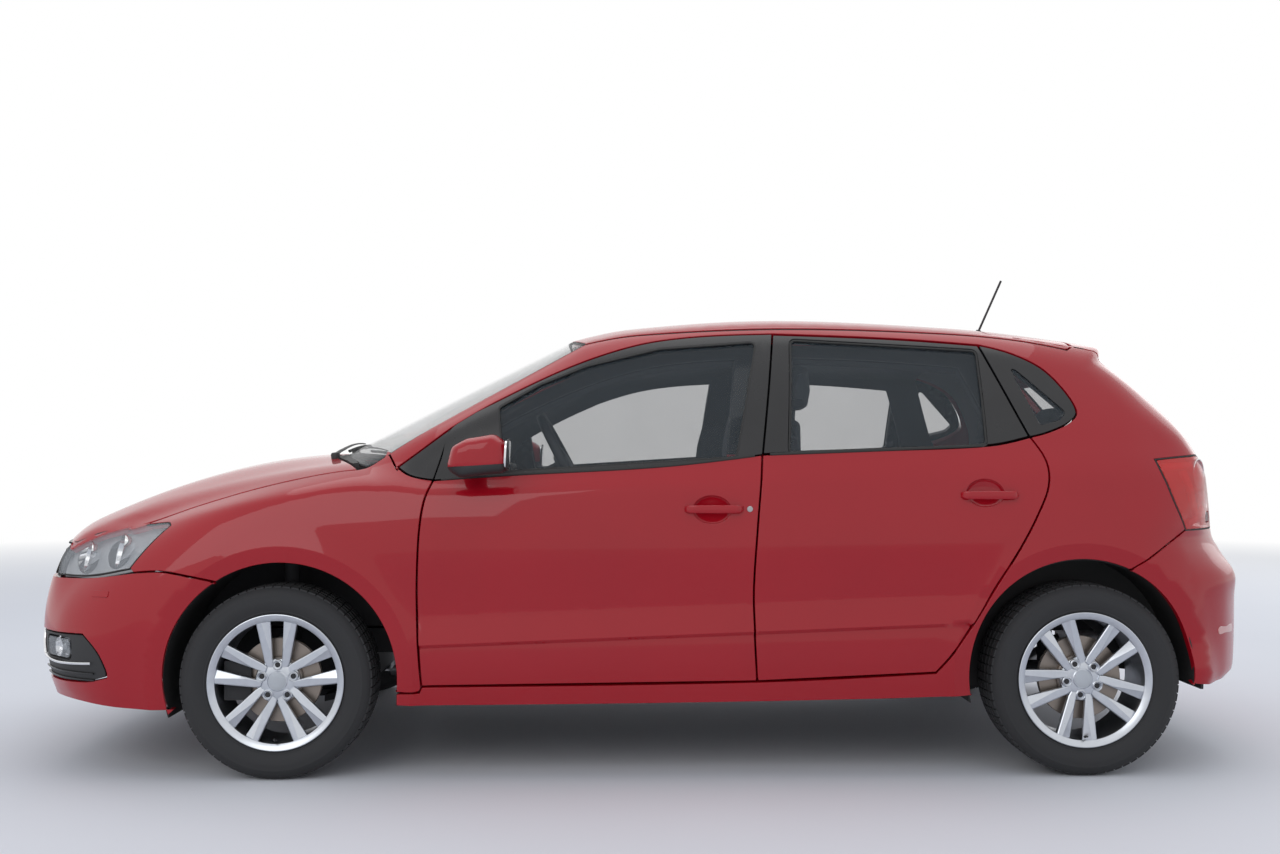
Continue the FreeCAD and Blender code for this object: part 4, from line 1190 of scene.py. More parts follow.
class Finishes:
    """Every finish of the car, made once when first used."""

    RED = Paint("glossy red paint", (0.40, 0.003, 0.012))
    JAMB = Paint("frame paint, dark over the belt", (0.40, 0.003, 0.012), "paint", 0.985)
    GLASS = Glass("tinted glass", (0.045, 0.065, 0.08), 0.20)
    LENS = Glass("clear lens", (0.75, 0.78, 0.8), 0.16, "lamp_clear")
    RED_LENS = Glass("red lens", (0.78, 0.010, 0.010), 0.56, "lamp_red", 0.03)
    GUIDE = Plastic("bright red light guide", (1.0, 0.075, 0.055), 0.3, "lamp_red", 60.0, 0.1)
    # Rear bumper reflector lens: its red is the reflector's own, and the pale pink lightening is a painted
    # reflection of the sky on it.
    MARKER = Glass("pale marker lens", (0.80, 0.40, 0.37), 0.9, "lamp_red", 0.03)
    BLACK = Plastic("grained black plastic", (0.016, 0.016, 0.017), 0.55, "black_plastic")
    TRIM = Plastic("smooth black trim", (0.010, 0.010, 0.011), 0.26, "gloss_black", 400.0, 0.03)
    SEAL = Plastic("soft black rubber", (0.012, 0.012, 0.012), 0.7, "black_plastic", 500.0, 0.1)
    UNDER = Plastic("dark underbody coating", (0.022, 0.022, 0.023), 0.8, "underbody", 120.0, 0.4)
    TYRE = Plastic("tyre rubber", (0.020, 0.020, 0.021), 0.78, "tyre", 300.0, 0.2)
    ALLOY = Metal("silver cast alloy", (0.60, 0.63, 0.68), 0.3, "alloy")
    CHROME = Metal("bright plated trim", (0.80, 0.81, 0.83), 0.12, "steel")
    STEEL = Metal("bare turned steel", (0.42, 0.42, 0.43), 0.38, "steel")
    IRON = Metal("rough cast metal", (0.22, 0.22, 0.22), 0.6, "iron")
    CABIN = Plastic("soft grained cabin plastic", (0.034, 0.035, 0.038), 0.6, "dash", 500.0, 0.25)
    DARK = Plastic("dark cabin trim", (0.017, 0.017, 0.019), 0.5, "dash", 700.0, 0.2)
    LINING = Plastic("pale head lining", (0.30, 0.30, 0.29), 0.9, "dash", 260.0, 0.3)
    SATIN = Metal("satin lamp housing", (0.36, 0.37, 0.39), 0.42, "lamp_clear")
    CAP = Plastic("silver hub cap", (0.42, 0.44, 0.46), 0.35, "alloy", 300.0, 0.05)
    DISC = Metal("brake disc iron", (0.30, 0.26, 0.23), 0.42, "iron", 20.0)
    PLATE = Plastic("blank plate white", (0.72, 0.72, 0.70), 0.45, "steel", 200.0, 0.05)
    BOLSTER = Cloth("bolster cloth", (0.020, 0.021, 0.024), (0.042, 0.044, 0.05))
    SEAT = Cloth("dark seat cloth", (0.030, 0.031, 0.035), (0.060, 0.062, 0.07))

    _made: dict[str, bpy.types.Material] = {}

    @classmethod
    def get(cls, finish: object) -> bpy.types.Material:
        """The material of a finish."""
        if finish.name not in cls._made:
            cls._made[finish.name] = finish.material()
        return cls._made[finish.name]


Finish = Paint | Plastic | Metal | Glass | Cloth


def fit(mesh: bpy.types.Mesh, name: str, finish: Finish, body: str, *nodes: str) -> bpy.types.Object:
    """One finished piece: its object, material, body and the nodes that it replaces.

    Args:
        mesh: The finished mesh, in metres.
        name: Name of the piece.
        finish: Its finish.
        body: The body that it rides on.
        nodes: CAD nodes that it stands for.
    Returns:
        The piece.
    """
    name = name.replace(" ", "_")
    mesh.name = name
    piece = bpy.data.objects.new(name, mesh)
    bpy.context.scene.collection.objects.link(piece)
    mesh.materials.clear()
    mesh.materials.append(Finishes.get(finish))
    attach(piece, body)
    if nodes:
        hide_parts(*nodes)
    LOG.info("%s: %d faces on %s", name, len(mesh.polygons), body)
    return piece


def fit_shape(shape: Shape, name: str, finish: Finish, body: str, *nodes: str) -> bpy.types.Object:
    """One finished piece from a shape in millimetres."""
    mesh = welded_mesh(name, np.concatenate(shape.points), shape.faces, np.array(shape.corners))
    return fit(mesh, name, finish, body, *nodes)


# Shut lines of the right side, in rough points (x, y, z) that are laid on the skin

FRONT_DOOR_EDGE = ((-683, 812, 284), (-692, 830, 407), (-697, 830, 544), (-695, 836, 665), (-689, 825, 770),
                   (-678, 815, 842), (-655, 800, 907))
FRONT_FRAME_EDGE = ((-655, 800, 907), (-636, 780, 975), (-612, 710, 1068), (-468, 640, 1155),
                    (-203, 600, 1280), (47, 587, 1353), (411, 585, 1377))
PILLAR_LOW = ((356, 790, 985), (349, 800, 907), (334, 825, 744), (324, 836, 582), (327, 836, 420),
              (334, 820, 296))
PILLAR_HIGH = ((411, 585, 1377), (356, 790, 985))
REAR_DOOR_TOP = ((411, 585, 1377), (792, 590, 1362), (1078, 600, 1341))
REAR_DOOR_BACK = ((1078, 600, 1341), (1150, 700, 1150), (1194, 760, 1040))
REAR_DOOR_EDGE = ((1194, 760, 1040), (1226, 775, 985), (1236, 785, 939), (1228, 800, 878), (1194, 820, 803),
                  (1144, 830, 712), (1073, 836, 599), (1019, 836, 509), (967, 832, 433), (922, 825, 371),
                  (879, 815, 321))
BELT_FRONT = ((-655, 800, 907), (-423, 790, 923), (40, 790, 949), (356, 790, 985))
BELT_REAR = ((356, 790, 985), (700, 780, 998), (1061, 770, 1013), (1194, 760, 1040))
BELT_NOSE = ((-771, 770, 946), (-726, 785, 920), (-655, 800, 907))
QUARTER_EDGE = ((1194, 760, 1040), (1257, 745, 1056), (1325, 722, 1085), (1358, 705, 1118), (1337, 680, 1181),
                (1274, 640, 1260), (1180, 610, 1312), (1078, 600, 1341))
DOOR_BOTTOM = ((-683, 812, 284), (334, 820, 296), (879, 815, 321))
FRONT_ARCH = ((-1110.0, 305.0), 350.0)
REAR_ARCH = ((1330.0, 317.0), 345.0)
"""Wheel arches, as centre (x, z) and radius in side view."""
FLARE_WIDTH = 52.0
FLARE_HEIGHT = 5.0
FLARE_DROP = 9.0
FLARE_FADE = 70.0
"""The raised band round a wheel arch: width, height at its edge, drop to the lip, fade beyond it."""
FLARE_SIDES = (640.0, 720.0)
"""Half widths of the car between which the band rises from nothing."""
SCREEN_EDGE = ((-815, 684, 1005), (-775, 672, 1021), (-602, 638, 1125), (-340, 590, 1273), (-196, 556, 1340))
GATE_EDGE = ((1407, 524, 1372), (1501, 521, 1295), (1620, 560, 1184), (1689, 590, 1098), (1750, 604, 1032),
             (1768, 628, 982))
REAR_ARCH_SHUT = 65.9
FRONT_ARCH_SHUT = 122.5
"""Angles at which the bumpers' shut lines meet the wheel arches."""
TAIL_LAMP_TOP = ((1768, 628, 982), (1719, 700, 982), (1588, 768, 970))
GATE_LAMP_EDGE = ((1768, 628, 982), (1777, 642, 939), (1817, 604, 841), (1819, 598, 752))
BONNET_SIDE = ((-1852, 558, 720), (-1837, 592, 720), (-1637, 640, 777), (-1427, 680, 844), (-1214, 700, 899),
               (-987, 710, 952), (-898, 714, 971))
LAMP_LOW = ((-1862, 600, 599), (-1708, 710, 607), (-1565, 770, 625))
LAMP_REAR = ((-1565, 770, 625), (-1468, 745, 765))
LAMP_TOP = ((-1468, 745, 765), (-1499, 730, 787), (-1628, 655, 777))
BUMPER_SHUT = ((-1565, 770, 625), (-1543, 800, 628), (-1469, 820, 631), (-1379, 830, 617), (-1303, 836, 600))
TAIL_SHUT = ((1478, 835, 632), (1588, 819, 701), (1673, 776, 750))
TAIL_LAMP_FRONT = ((1588, 768, 970), (1606, 789, 903), (1634, 796, 829), (1673, 776, 750))
FRONT_GLASS = ((-440, 934), (277, 978), (356, 1350), (45, 1326), (-190, 1268), (-337, 1208), (-465, 1134))
REAR_GLASS = ((439, 990), (1053, 1016), (1066, 1321), (468, 1356))
MOUTH = (((-1986, 0, 432), (-1925, 560, 432), (-1700, 740, 436)),
         ((-1700, 740, 436), (-1654, 765, 386), (-1631, 780, 329), (-1631, 780, 309)),
         ((-1631, 780, 309), (-1700, 740, 292), (-1925, 560, 284), (-1975, 0, 284)))
"""Opening of the front bumper round the lower grille, from middle to middle."""
ROOF_FRONT = ((-262, 0, 1384), (-246, 350, 1370), (-196, 552, 1340))
FRAME_FOOT = ((-612, 710, 1068), (-771, 770, 946))
WING_FOOT = ((-683, 812, 284), (-690, 820, 266), (-762, 820, 262))
QUARTER_GLASS = ((1160, 1280), (1322, 1118), (1300, 1096), (1236, 1080), (1228, 1100))
"""Window outlines, as (x, z) in side view."""
FROM_REAR = Slant((-1, 0, 0))


def arch_line(arch: Arch, start: float, end: float) -> Array:
    """Part of a wheel arch on the skin, between two angles in side view."""
    flat = arc(arch[0], arch[1], start, end)
    return on_skin(beside(flat, 900.0))


def side_loop(outline: Sequence[tuple[float, float]], radius: float = 18.0) -> Array:
    """A closed side-view outline with rounded corners, laid on the skin."""
    flat = rounded_loop(np.array(outline, float), radius)
    return on_skin(beside(flat, 900.0))


def rounded_loop(outline: Array, radius: float, spacing: float = 12.0) -> Array:
    """A closed flat polygon with its corners rounded, sampled evenly.

    Args:
        outline: Corner points.
        radius: Radius at each corner, less where an edge is short.
        spacing: Distance between samples on the edges.
    Returns:
        The loop's points.
    """
    points = []
    count = len(outline)
    for i in range(count):
        here = outline[i]
        back = outline[i - 1] - here
        on = outline[(i + 1) % count] - here
        lb, lo = np.linalg.norm(back), np.linalg.norm(on)
        back, on = back / lb, on / lo
        half = math.acos(float(np.clip(back @ on, -1, 1))) / 2
        reach = min(radius / math.tan(half), 0.4 * lb, 0.4 * lo)
        start, end = here + back * reach, here + on * reach
        steps = max(2, int(reach * 2 / 6))
        for t in np.linspace(0, 1, steps + 1):
            points.append((1 - t) ** 2 * start + 2 * t * (1 - t) * here + t * t * end)
        following = outline[(i + 1) % count]
        gap = np.linalg.norm(following - end)
        nxt_reach = min(radius, 0.4 * lo)
        extra = int(max(gap - nxt_reach, 0) / spacing)
        for k in range(1, extra):
            points.append(end + on * k * (gap - nxt_reach) / extra)
    return np.array(points)


def upright(flat: Array, x: float) -> Array:
    """Points (y, z) of a flat drawing, stood up at one place along the car."""
    return np.stack([np.full(len(flat), x), flat[:, 0], flat[:, 1]], axis=1)


def beside(flat: Array, y: float) -> Array:
    """Points (x, z) of a flat drawing, stood up at one distance beside the middle."""
    return np.stack([flat[:, 0], np.full(len(flat), y), flat[:, 1]], axis=1)


def across(half: Array) -> Array:
    """A closed loop from a run that starts and ends on the centre line, and its mirror image."""
    other = half[::-1] * np.array((1.0, -1.0, 1.0))
    return chain(half, other[1:-1] if abs(half[0][1]) < 1 and abs(half[-1][1]) < 1 else other)


def arch_flare(p: Array) -> Array:
    """Height of the raised band round each wheel arch over the plain skin."""
    height = np.zeros(len(p))
    for (x, z), radius in (FRONT_ARCH, REAR_ARCH):
        past = np.hypot(p[:, 0] - x, p[:, 2] - z) - radius
        inner = FLARE_HEIGHT - FLARE_DROP * np.clip((FLARE_WIDTH - past) / FLARE_WIDTH, 0.0, 1.0)
        outer = FLARE_HEIGHT * np.clip(1.0 - (past - FLARE_WIDTH) / FLARE_FADE, 0, 1) ** 2
        height += np.where(past < FLARE_WIDTH, inner, outer)
    start, full = FLARE_SIDES
    return height * np.clip((np.abs(p[:, 1]) - start) / (full - start), 0.0, 1.0)


def flare_marks(arch: Arch, start: float = -5.0, end: float = 190.0) -> list[Array]:
    """Lines along the band round a wheel arch, between two angles."""
    centre, radius = arch
    return [arch_line((centre, radius + past), start, end)
            for past in (FLARE_WIDTH - 2.0, FLARE_WIDTH, FLARE_WIDTH + 2.0, FLARE_WIDTH * 0.5)]


class Side(Enum):
    """The two sides of the car, by the sign of their y."""

    RIGHT = 1
    LEFT = -1

    @property
    def word(self) -> str:
        """The side's name in bodies and nodes."""
        return self.name.lower()


class Axle(Enum):
    """The two axles: place along the car, half track and direction of the first pair of spokes."""

    FRONT = (-1126.0, 731.0, 90.0)
    REAR = (1344.0, 728.0, 46.0)


def fit_pair(shape: Shape, name: str, finish: Finish, body: str, *nodes: str) -> None:
    """A right-hand shape and its mirror image, as one piece a side.

    Args:
        shape: The right-hand shape.
        name: Name that ends in the side's own word.
        finish: Its finish.
        body: Body name, with {} for the side's word where each side has its own.
        nodes: Replaced nodes, with {} likewise.
    """
    for side, made in ((Side.RIGHT, shape), (Side.LEFT, shape.mirrored())):
        named = [n.format(side.word) for n in nodes if "{}" in n or side is Side.RIGHT]
        fit_shape(made, f"{name}_{side.word}", finish, body.format(side.word), *named)


def fit_mould(mould: Mould, name: str, finish: Finish, body: str, *nodes: str, angle: float = 35.0
              ) -> bpy.types.Object:
    """One finished piece from a mould."""
    return fit(mould.mesh(angle), name, finish, body, *nodes)


def fit_sides(mould: Mould, name: str, finish: Finish, body: str, *nodes: str, angle: float = 35.0) -> None:
    """A right-hand mould and its mirror image, as one piece a side."""
    for side in Side:
        named = [n.format(side.word) for n in nodes if "{}" in n or side is Side.RIGHT]
        fit_mould(mould.moved(side=side.value), f"{name}_{side.word}", finish, body.format(side.word), *named,
                  angle=angle)


@dataclass
class BodyPanels:
    """The painted body that stays with the shell: sides, fenders, roof, bumpers and bonnet."""

    body: str = "body_shell"
    panel_depth: float = 22.0
    side_depth: float = 46.0

    def build(self) -> None:
        """Make every painted panel."""
        self.side()
        self.fender()
        self.roof()
        self.bonnet()
        self.front_bumper()
        self.rear_bumper()
        self.tailgate()

    def side(self) -> None:
        """Roof rail, windscreen pillar, rear quarter and sill in one pressing a side."""
        loop = chain(
            traced(FROM_ABOVE, SCREEN_EDGE, ((-196, 556, 1340), (400, 556, 1400), (1380, 556, 1372)),
                   ((1380, 556, 1372), (1407, 524, 1372))),
            line(GATE_EDGE, FROM_REAR),
            traced(TAIL_LAMP_VIEW, TAIL_LAMP_TOP, TAIL_LAMP_FRONT),
            line(TAIL_SHUT[::-1], TAIL_WRAP),
            arch_line(REAR_ARCH, REAR_ARCH_SHUT, 192.0),
            traced(FROM_SIDE, ((992, 812, 245), (700, 816, 236), (0, 816, 225), (-763, 816, 220)),
                   ((-763, 816, 220), (-762, 820, 262)), WING_FOOT[:0:-1], WING_FOOT[1::-1], DOOR_BOTTOM,
                   REAR_DOOR_EDGE[::-1], QUARTER_EDGE, REAR_DOOR_TOP[::-1], FRONT_FRAME_EDGE[:1:-1],
                   FRAME_FOOT),
            line(((-771, 770, 946), (-815, 684, 1005)), FROM_SHOULDER),
        )
        shape = panel(loop, view=FROM_SHOULDER, depth=self.side_depth, step=15.0, dent=arch_flare,
                      marks=flare_marks(REAR_ARCH))
        fit_pair(shape, "body side", Finishes.RED, self.body, "body_side_{}")

    def fender(self) -> None:
        """The front wings, from lamp to door."""
        loop = chain(
            traced(FROM_ABOVE, ((-1628, 645, 777),) + BONNET_SIDE[3:],
                   ((-898, 714, 971), (-860, 700, 984), (-815, 684, 1005))),
            line(((-815, 684, 1005), (-771, 770, 946)), FROM_SHOULDER),
            traced(FROM_SIDE, BELT_NOSE, FRONT_DOOR_EDGE[::-1], WING_FOOT),
            arch_line(FRONT_ARCH, -7.0, FRONT_ARCH_SHUT),
            line(BUMPER_SHUT[::-1]),
            traced(FROM_LAMP, LAMP_REAR, LAMP_TOP),
        )
        shape = panel(loop, view=FROM_SHOULDER, depth=self.panel_depth, step=17.0, dent=arch_flare,
                      marks=flare_marks(FRONT_ARCH))
        fit_pair(shape, "fender", Finishes.RED, self.body, "fender_{}")

    def roof(self) -> None:
        """The roof between its two side grooves."""
        half = traced(FROM_ABOVE, ROOF_FRONT, ((-196, 552, 1340), (400, 552, 1400), (1380, 552, 1372)),
                      ((1380, 552, 1372), (1403, 524, 1372), (1403, 0, 1390)))
        shape = panel(across(half), view=FROM_ABOVE, depth=self.panel_depth, step=40.0)
        fit_shape(shape, "roof", Finishes.RED, self.body, "roof_panel")

    def bonnet(self) -> None:
        """The bonnet lid."""
        half = traced(FROM_ABOVE, ((-1936, 0, 738), (-1908, 350, 734), (-1852, 558, 720)), BONNET_SIDE,
                      ((-898, 714, 971), (-955, 600, 960), (-1050, 350, 980), (-1085, 0, 985)))
        shape = panel(across(half), view=FROM_ABOVE, depth=self.panel_depth, step=22.0, edge=3.0)
        fit_shape(shape, "bonnet", Finishes.RED, "bonnet", "bonnet")

    def front_bumper(self) -> None:
        """The front bumper, wrapped round the nose, open for the lower grille."""
        half = chain(
            traced(NOSE_WRAP, ((-1956, 0, 602), (-1925, 350, 602), (-1862, 600, 600)), LAMP_LOW, BUMPER_SHUT),
            arch_line(FRONT_ARCH, FRONT_ARCH_SHUT, 196.0),
            line(((-1446, 812, 209), (-1600, 780, 214), (-1744, 700, 224), (-1900, 500, 224),
                  (-1948, 0, 224)), NOSE_WRAP),
        )
        shape = panel(across(half), [across(traced(NOSE_WRAP, *MOUTH))], view=NOSE_WRAP,
                      depth=self.panel_depth, step=18.0, dent=arch_flare,
                      marks=flare_marks(FRONT_ARCH, 118.0, 200.0))
        fit_shape(shape, "front bumper", Finishes.RED, self.body, "front_bumper")

    def rear_bumper(self) -> None:
        """The rear bumper, wrapped round the tail."""
        half = chain(
            traced(TAIL_WRAP, ((1921, 0, 746), (1848, 560, 746), (1822, 598, 748)),
                   ((1822, 598, 748), (1673, 776, 750)), TAIL_SHUT[::-1]),
            arch_line(REAR_ARCH, REAR_ARCH_SHUT, -5.2),
            line(((1673, 800, 286), (1760, 720, 280), (1850, 560, 268), (1890, 0, 254)), TAIL_WRAP),
        )
        shape = panel(across(half), view=TAIL_WRAP, depth=self.panel_depth, step=18.0, gap=0.5,
                      dent=self.bumper_relief, marks=flare_marks(REAR_ARCH, -12.0, 70.0))
        fit_shape(shape, "rear bumper", Finishes.RED, self.body, "rear_bumper")

    def tailgate(self) -> None:
        """The painted tailgate round its window."""
        half = chain(
            line(((1410, 0, 1390), (1410, 520, 1372)), FROM_ABOVE),
            traced(FROM_REAR, GATE_EDGE, GATE_LAMP_EDGE,
                   ((1819, 598, 752), (1848, 560, 754), (1921, 0, 754))),
        )
        (wide, tall), middle, _ = self.RECESS
        corners = rounded_loop(np.array([(a * wide, middle + b * tall)
                                         for a, b in ((-1, -1), (1, -1), (1, 1), (-1, 1))]), 26.0)
        rims = []
        for shrink in (0.0, 7.0, 14.0):
            flat = offset_loop(corners, shrink)
            flat = np.concatenate([flat, flat[:1]])
            rims.append(on_skin(upright(flat, 1900.0), FROM_REAR))
        shape = panel(across(half), [self.window_loop(0.0)], view=FROM_BEHIND, depth=30.0, step=16.0,
                      dent=self.plate_recess, marks=rims)
        fit_shape(shape, "tailgate", Finishes.RED, "tailgate", "tailgate")

    HEEL = ((1690.0, 75.0), (300.0, 85.0))
    """Middle and reach, along x and z, of the swell behind the rear wheels."""
    SHOULDER = ((1680.0, 1860.0), (480.0, 630.0), (600.0, 52.0))
    """The rear bumper's shoulder: where it starts and is full along x and y, its height and half width."""
    RECESS = ((270.0, 60.0), 822.0, 8.0)
    """Number-plate recess: half width and half height, middle height, depth."""

    @classmethod
    def bumper_relief(cls, p: Array) -> Array:
        """Relief of the rear bumper: arch bands, lower corners behind the wheels and its upper shoulder."""
        (x, wide), (z, tall) = cls.HEEL
        corner = 22.0 * np.exp(-((p[:, 0] - x) / wide) ** 2 - ((p[:, 2] - z) / tall) ** 2)
        (x0, x1), (y0, y1), (middle, half) = cls.SHOULDER
        back = np.clip((p[:, 0] - x0) / (x1 - x0), 0.0, 1.0)
        outer = 0.42 + 0.58 * np.clip((np.abs(p[:, 1]) - y0) / (y1 - y0), 0.0, 1.0)
        shoulder = 24.0 * back * outer * np.exp(-((p[:, 2] - middle) / half) ** 2)
        return arch_flare(p) + corner + shoulder

    @classmethod
    def plate_recess(cls, p: Array) -> Array:
        """Depth of the tailgate face at its number-plate recess."""
        (wide, tall), middle, deep = cls.RECESS
        inside = np.minimum(wide - np.abs(p[:, 1]), tall - np.abs(p[:, 2] - middle))
        return -deep * np.clip(inside / 13.0, 0.0, 1.0)

    @staticmethod
    def window_loop(grow: float) -> Array:
        """The rear window's outline."""
        corners = np.array(((0, 1046), (540, 1048), (536, 1098), (508, 1184), (474, 1272), (0, 1288)), float)
        half = np.concatenate([corners, corners[-2:0:-1] * np.array((-1.0, 1.0))])
        flat = rounded_loop(half, 30.0)
        flat = offset_loop(flat, -grow) if signed_area(flat) > 0 else offset_loop(flat, grow)
        return on_skin(upright(flat, 1900.0), FROM_REAR)


@dataclass
class Doors:
    """Painted door leaves, their black window frames and the panes."""

    depths: dict[str, float] = field(default_factory=lambda: {"front": 44.0, "rear": 38.0})
    frame_depth: float = 26.0
    frame_gaps: dict[str, float] = field(default_factory=lambda: {"front": 1.0, "rear": 4.0})
    crease: tuple[Point, Point] = ((-706.0, 840.0, 408.0), (900.0, 840.0, 470.0))
    band: float = 85.0
    fold: float = 9.0
    levels: tuple[float, float, float] = (7.0, -5.0, -6.0)
    grips: dict[str, tuple[float, float]] = field(default_factory=lambda: {
        "front": (197.0, 817.0), "rear": (1033.0, 867.0)})
    grip_size: tuple[float, float, float] = (57.0, 43.0, 15.0)

    def over_crease(self, p: Array) -> Array:
        """Height of points over the crease line, in side view."""
        (x0, _, z0), (x1, _, z1) = self.crease
        return p[:, 2] - (z0 + (z1 - z0) * (p[:, 0] - x0) / (x1 - x0))

    def relief(self, p: Array, grip: tuple[float, float]) -> Array:
        """Height of a door face over the plain skin: the flared band, its crease and the hand recess."""
        high = self.over_crease(p)
        top, upper, lower = self.levels
        flare = np.where(high > 0, top + (upper - top) * np.clip(high / self.band, 0, 1),
                         top + (lower - top) * np.clip(-high / self.fold, 0, 1))
        above = upper * np.clip(1 - (high - self.band) / 220.0, 0, 1) ** 2
        below = lower * np.clip(1 - (-self.fold - high) / 110.0, 0, 1) ** 1.5
        flare = np.where(high > self.band, above, flare)
        flare = np.where(high < -self.fold, below, flare)
        wide, tall, deep = self.grip_size
        r = ((p[:, 0] - grip[0]) / wide) ** 2 + ((p[:, 2] - grip[1]) / tall) ** 2
        return flare + arch_flare(p) - deep * np.sqrt(np.clip(1.0 - r, 0.0, 1.0))

    def marks(self, grip: tuple[float, float]) -> list[Array]:
        """Lines along the crease and round the hand recess."""
        lines = []
        for lift in (self.band, 40.0, 2.0, 0.0, -9.0, -11.0, -30.0):
            lines.append(line([(x, y, z + lift) for x, y, z in self.crease], spacing=20.0))
        wide, tall, _ = self.grip_size
        turn = np.linspace(0.0, 2 * math.pi, 37)
        for size in (1.06, 1.0, 0.96, 0.86, 0.68, 0.45, 0.2):
            lines.append(on_skin(np.stack([grip[0] + size * wide * np.cos(turn), np.full(37, 840.0),
                                           grip[1] + size * tall * np.sin(turn)], axis=1)))
        return lines

    @staticmethod
    def skins() -> dict[str, Array]:
        """Outlines of the front and rear door below the windows."""
        return {"front": traced(FROM_SIDE, FRONT_DOOR_EDGE, BELT_FRONT, PILLAR_LOW, DOOR_BOTTOM[1::-1]),
                "rear": traced(FROM_SIDE, PILLAR_LOW[::-1], BELT_REAR, REAR_DOOR_EDGE, DOOR_BOTTOM[:0:-1])}

    def build(self) -> None:
        """Make the four doors."""
        rims = {"front": (FRONT_FRAME_EDGE, PILLAR_HIGH, BELT_FRONT[::-1]),
                "rear": (PILLAR_HIGH[::-1], REAR_DOOR_TOP, REAR_DOOR_BACK, BELT_REAR[::-1])}
        panes = {"front": FRONT_GLASS, "rear": REAR_GLASS}
        for name, skin in self.skins().items():
            body = f"door_{name}_{{}}"
            grip = self.grips[name]
            leaf = panel(skin, depth=self.depths[name], step=17.0, marks=self.marks(grip),
                         dent=lambda p, grip=grip: self.relief(p, grip))
            fit_pair(leaf, f"{name} door", Finishes.RED, body, body)
            window = side_loop(panes[name])
            frame_shape = panel(traced(FROM_SIDE, *rims[name]), [window], depth=self.frame_depth, step=26.0,
                                gap=self.frame_gaps[name], level=-1.5)
            fit_pair(frame_shape, f"{name} door frame", Finishes.TRIM, body)
            pane = panel(window, depth=4.0, step=40.0, gap=-4.0, level=-6.0, edge=0.6)
            fit_pair(pane, f"{name} door glass", Finishes.GLASS, body, f"door_glass_{name}_{{}}")


@dataclass
class Glazing:
    """Windscreen, rear window and quarter windows with their black surrounds."""

    body: str = "body_shell"

    def build(self) -> None:
        """Make the fixed glass."""
        half = traced(FROM_ABOVE, ROOF_FRONT, SCREEN_EDGE[::-1],
                      ((-815, 684, 1005), (-878, 686, 980), (-925, 600, 975), (-1005, 350, 985),
                       (-1034, 0, 988)))
        screen = panel(across(half), view=FROM_ABOVE, depth=5.0, step=50.0, level=-2.0, edge=0.8, gap=3.0)
        fit_shape(screen, "windscreen", Finishes.GLASS, self.body, "windscreen")
        pane = panel(BodyPanels.window_loop(0.0), view=FROM_BEHIND, depth=4.0, step=50.0, level=-3.0, gap=1.0,
                     edge=0.6)
        fit_shape(pane, "rear window", Finishes.GLASS, "tailgate", "rear_window")
        window = side_loop(QUARTER_GLASS, 12.0)
        for name, loop, holes in (
                ("pillar foot", traced(FROM_SIDE, BELT_NOSE, FRONT_FRAME_EDGE[:3], FRAME_FOOT), ()),
                ("quarter trim", chain(line(REAR_DOOR_BACK[::-1])[::-1], line(QUARTER_EDGE)), (window,))):
            fit_pair(panel(loop, holes, depth=24.0, step=22.0, level=-1.5, gap=2.0), name, Finishes.TRIM,
                     self.body)
        quarter = panel(window, depth=4.0, step=30.0, level=-5.0, gap=-4.0, edge=0.6)
        fit_pair(quarter, "quarter window", Finishes.GLASS, self.body, "quarter_windows")


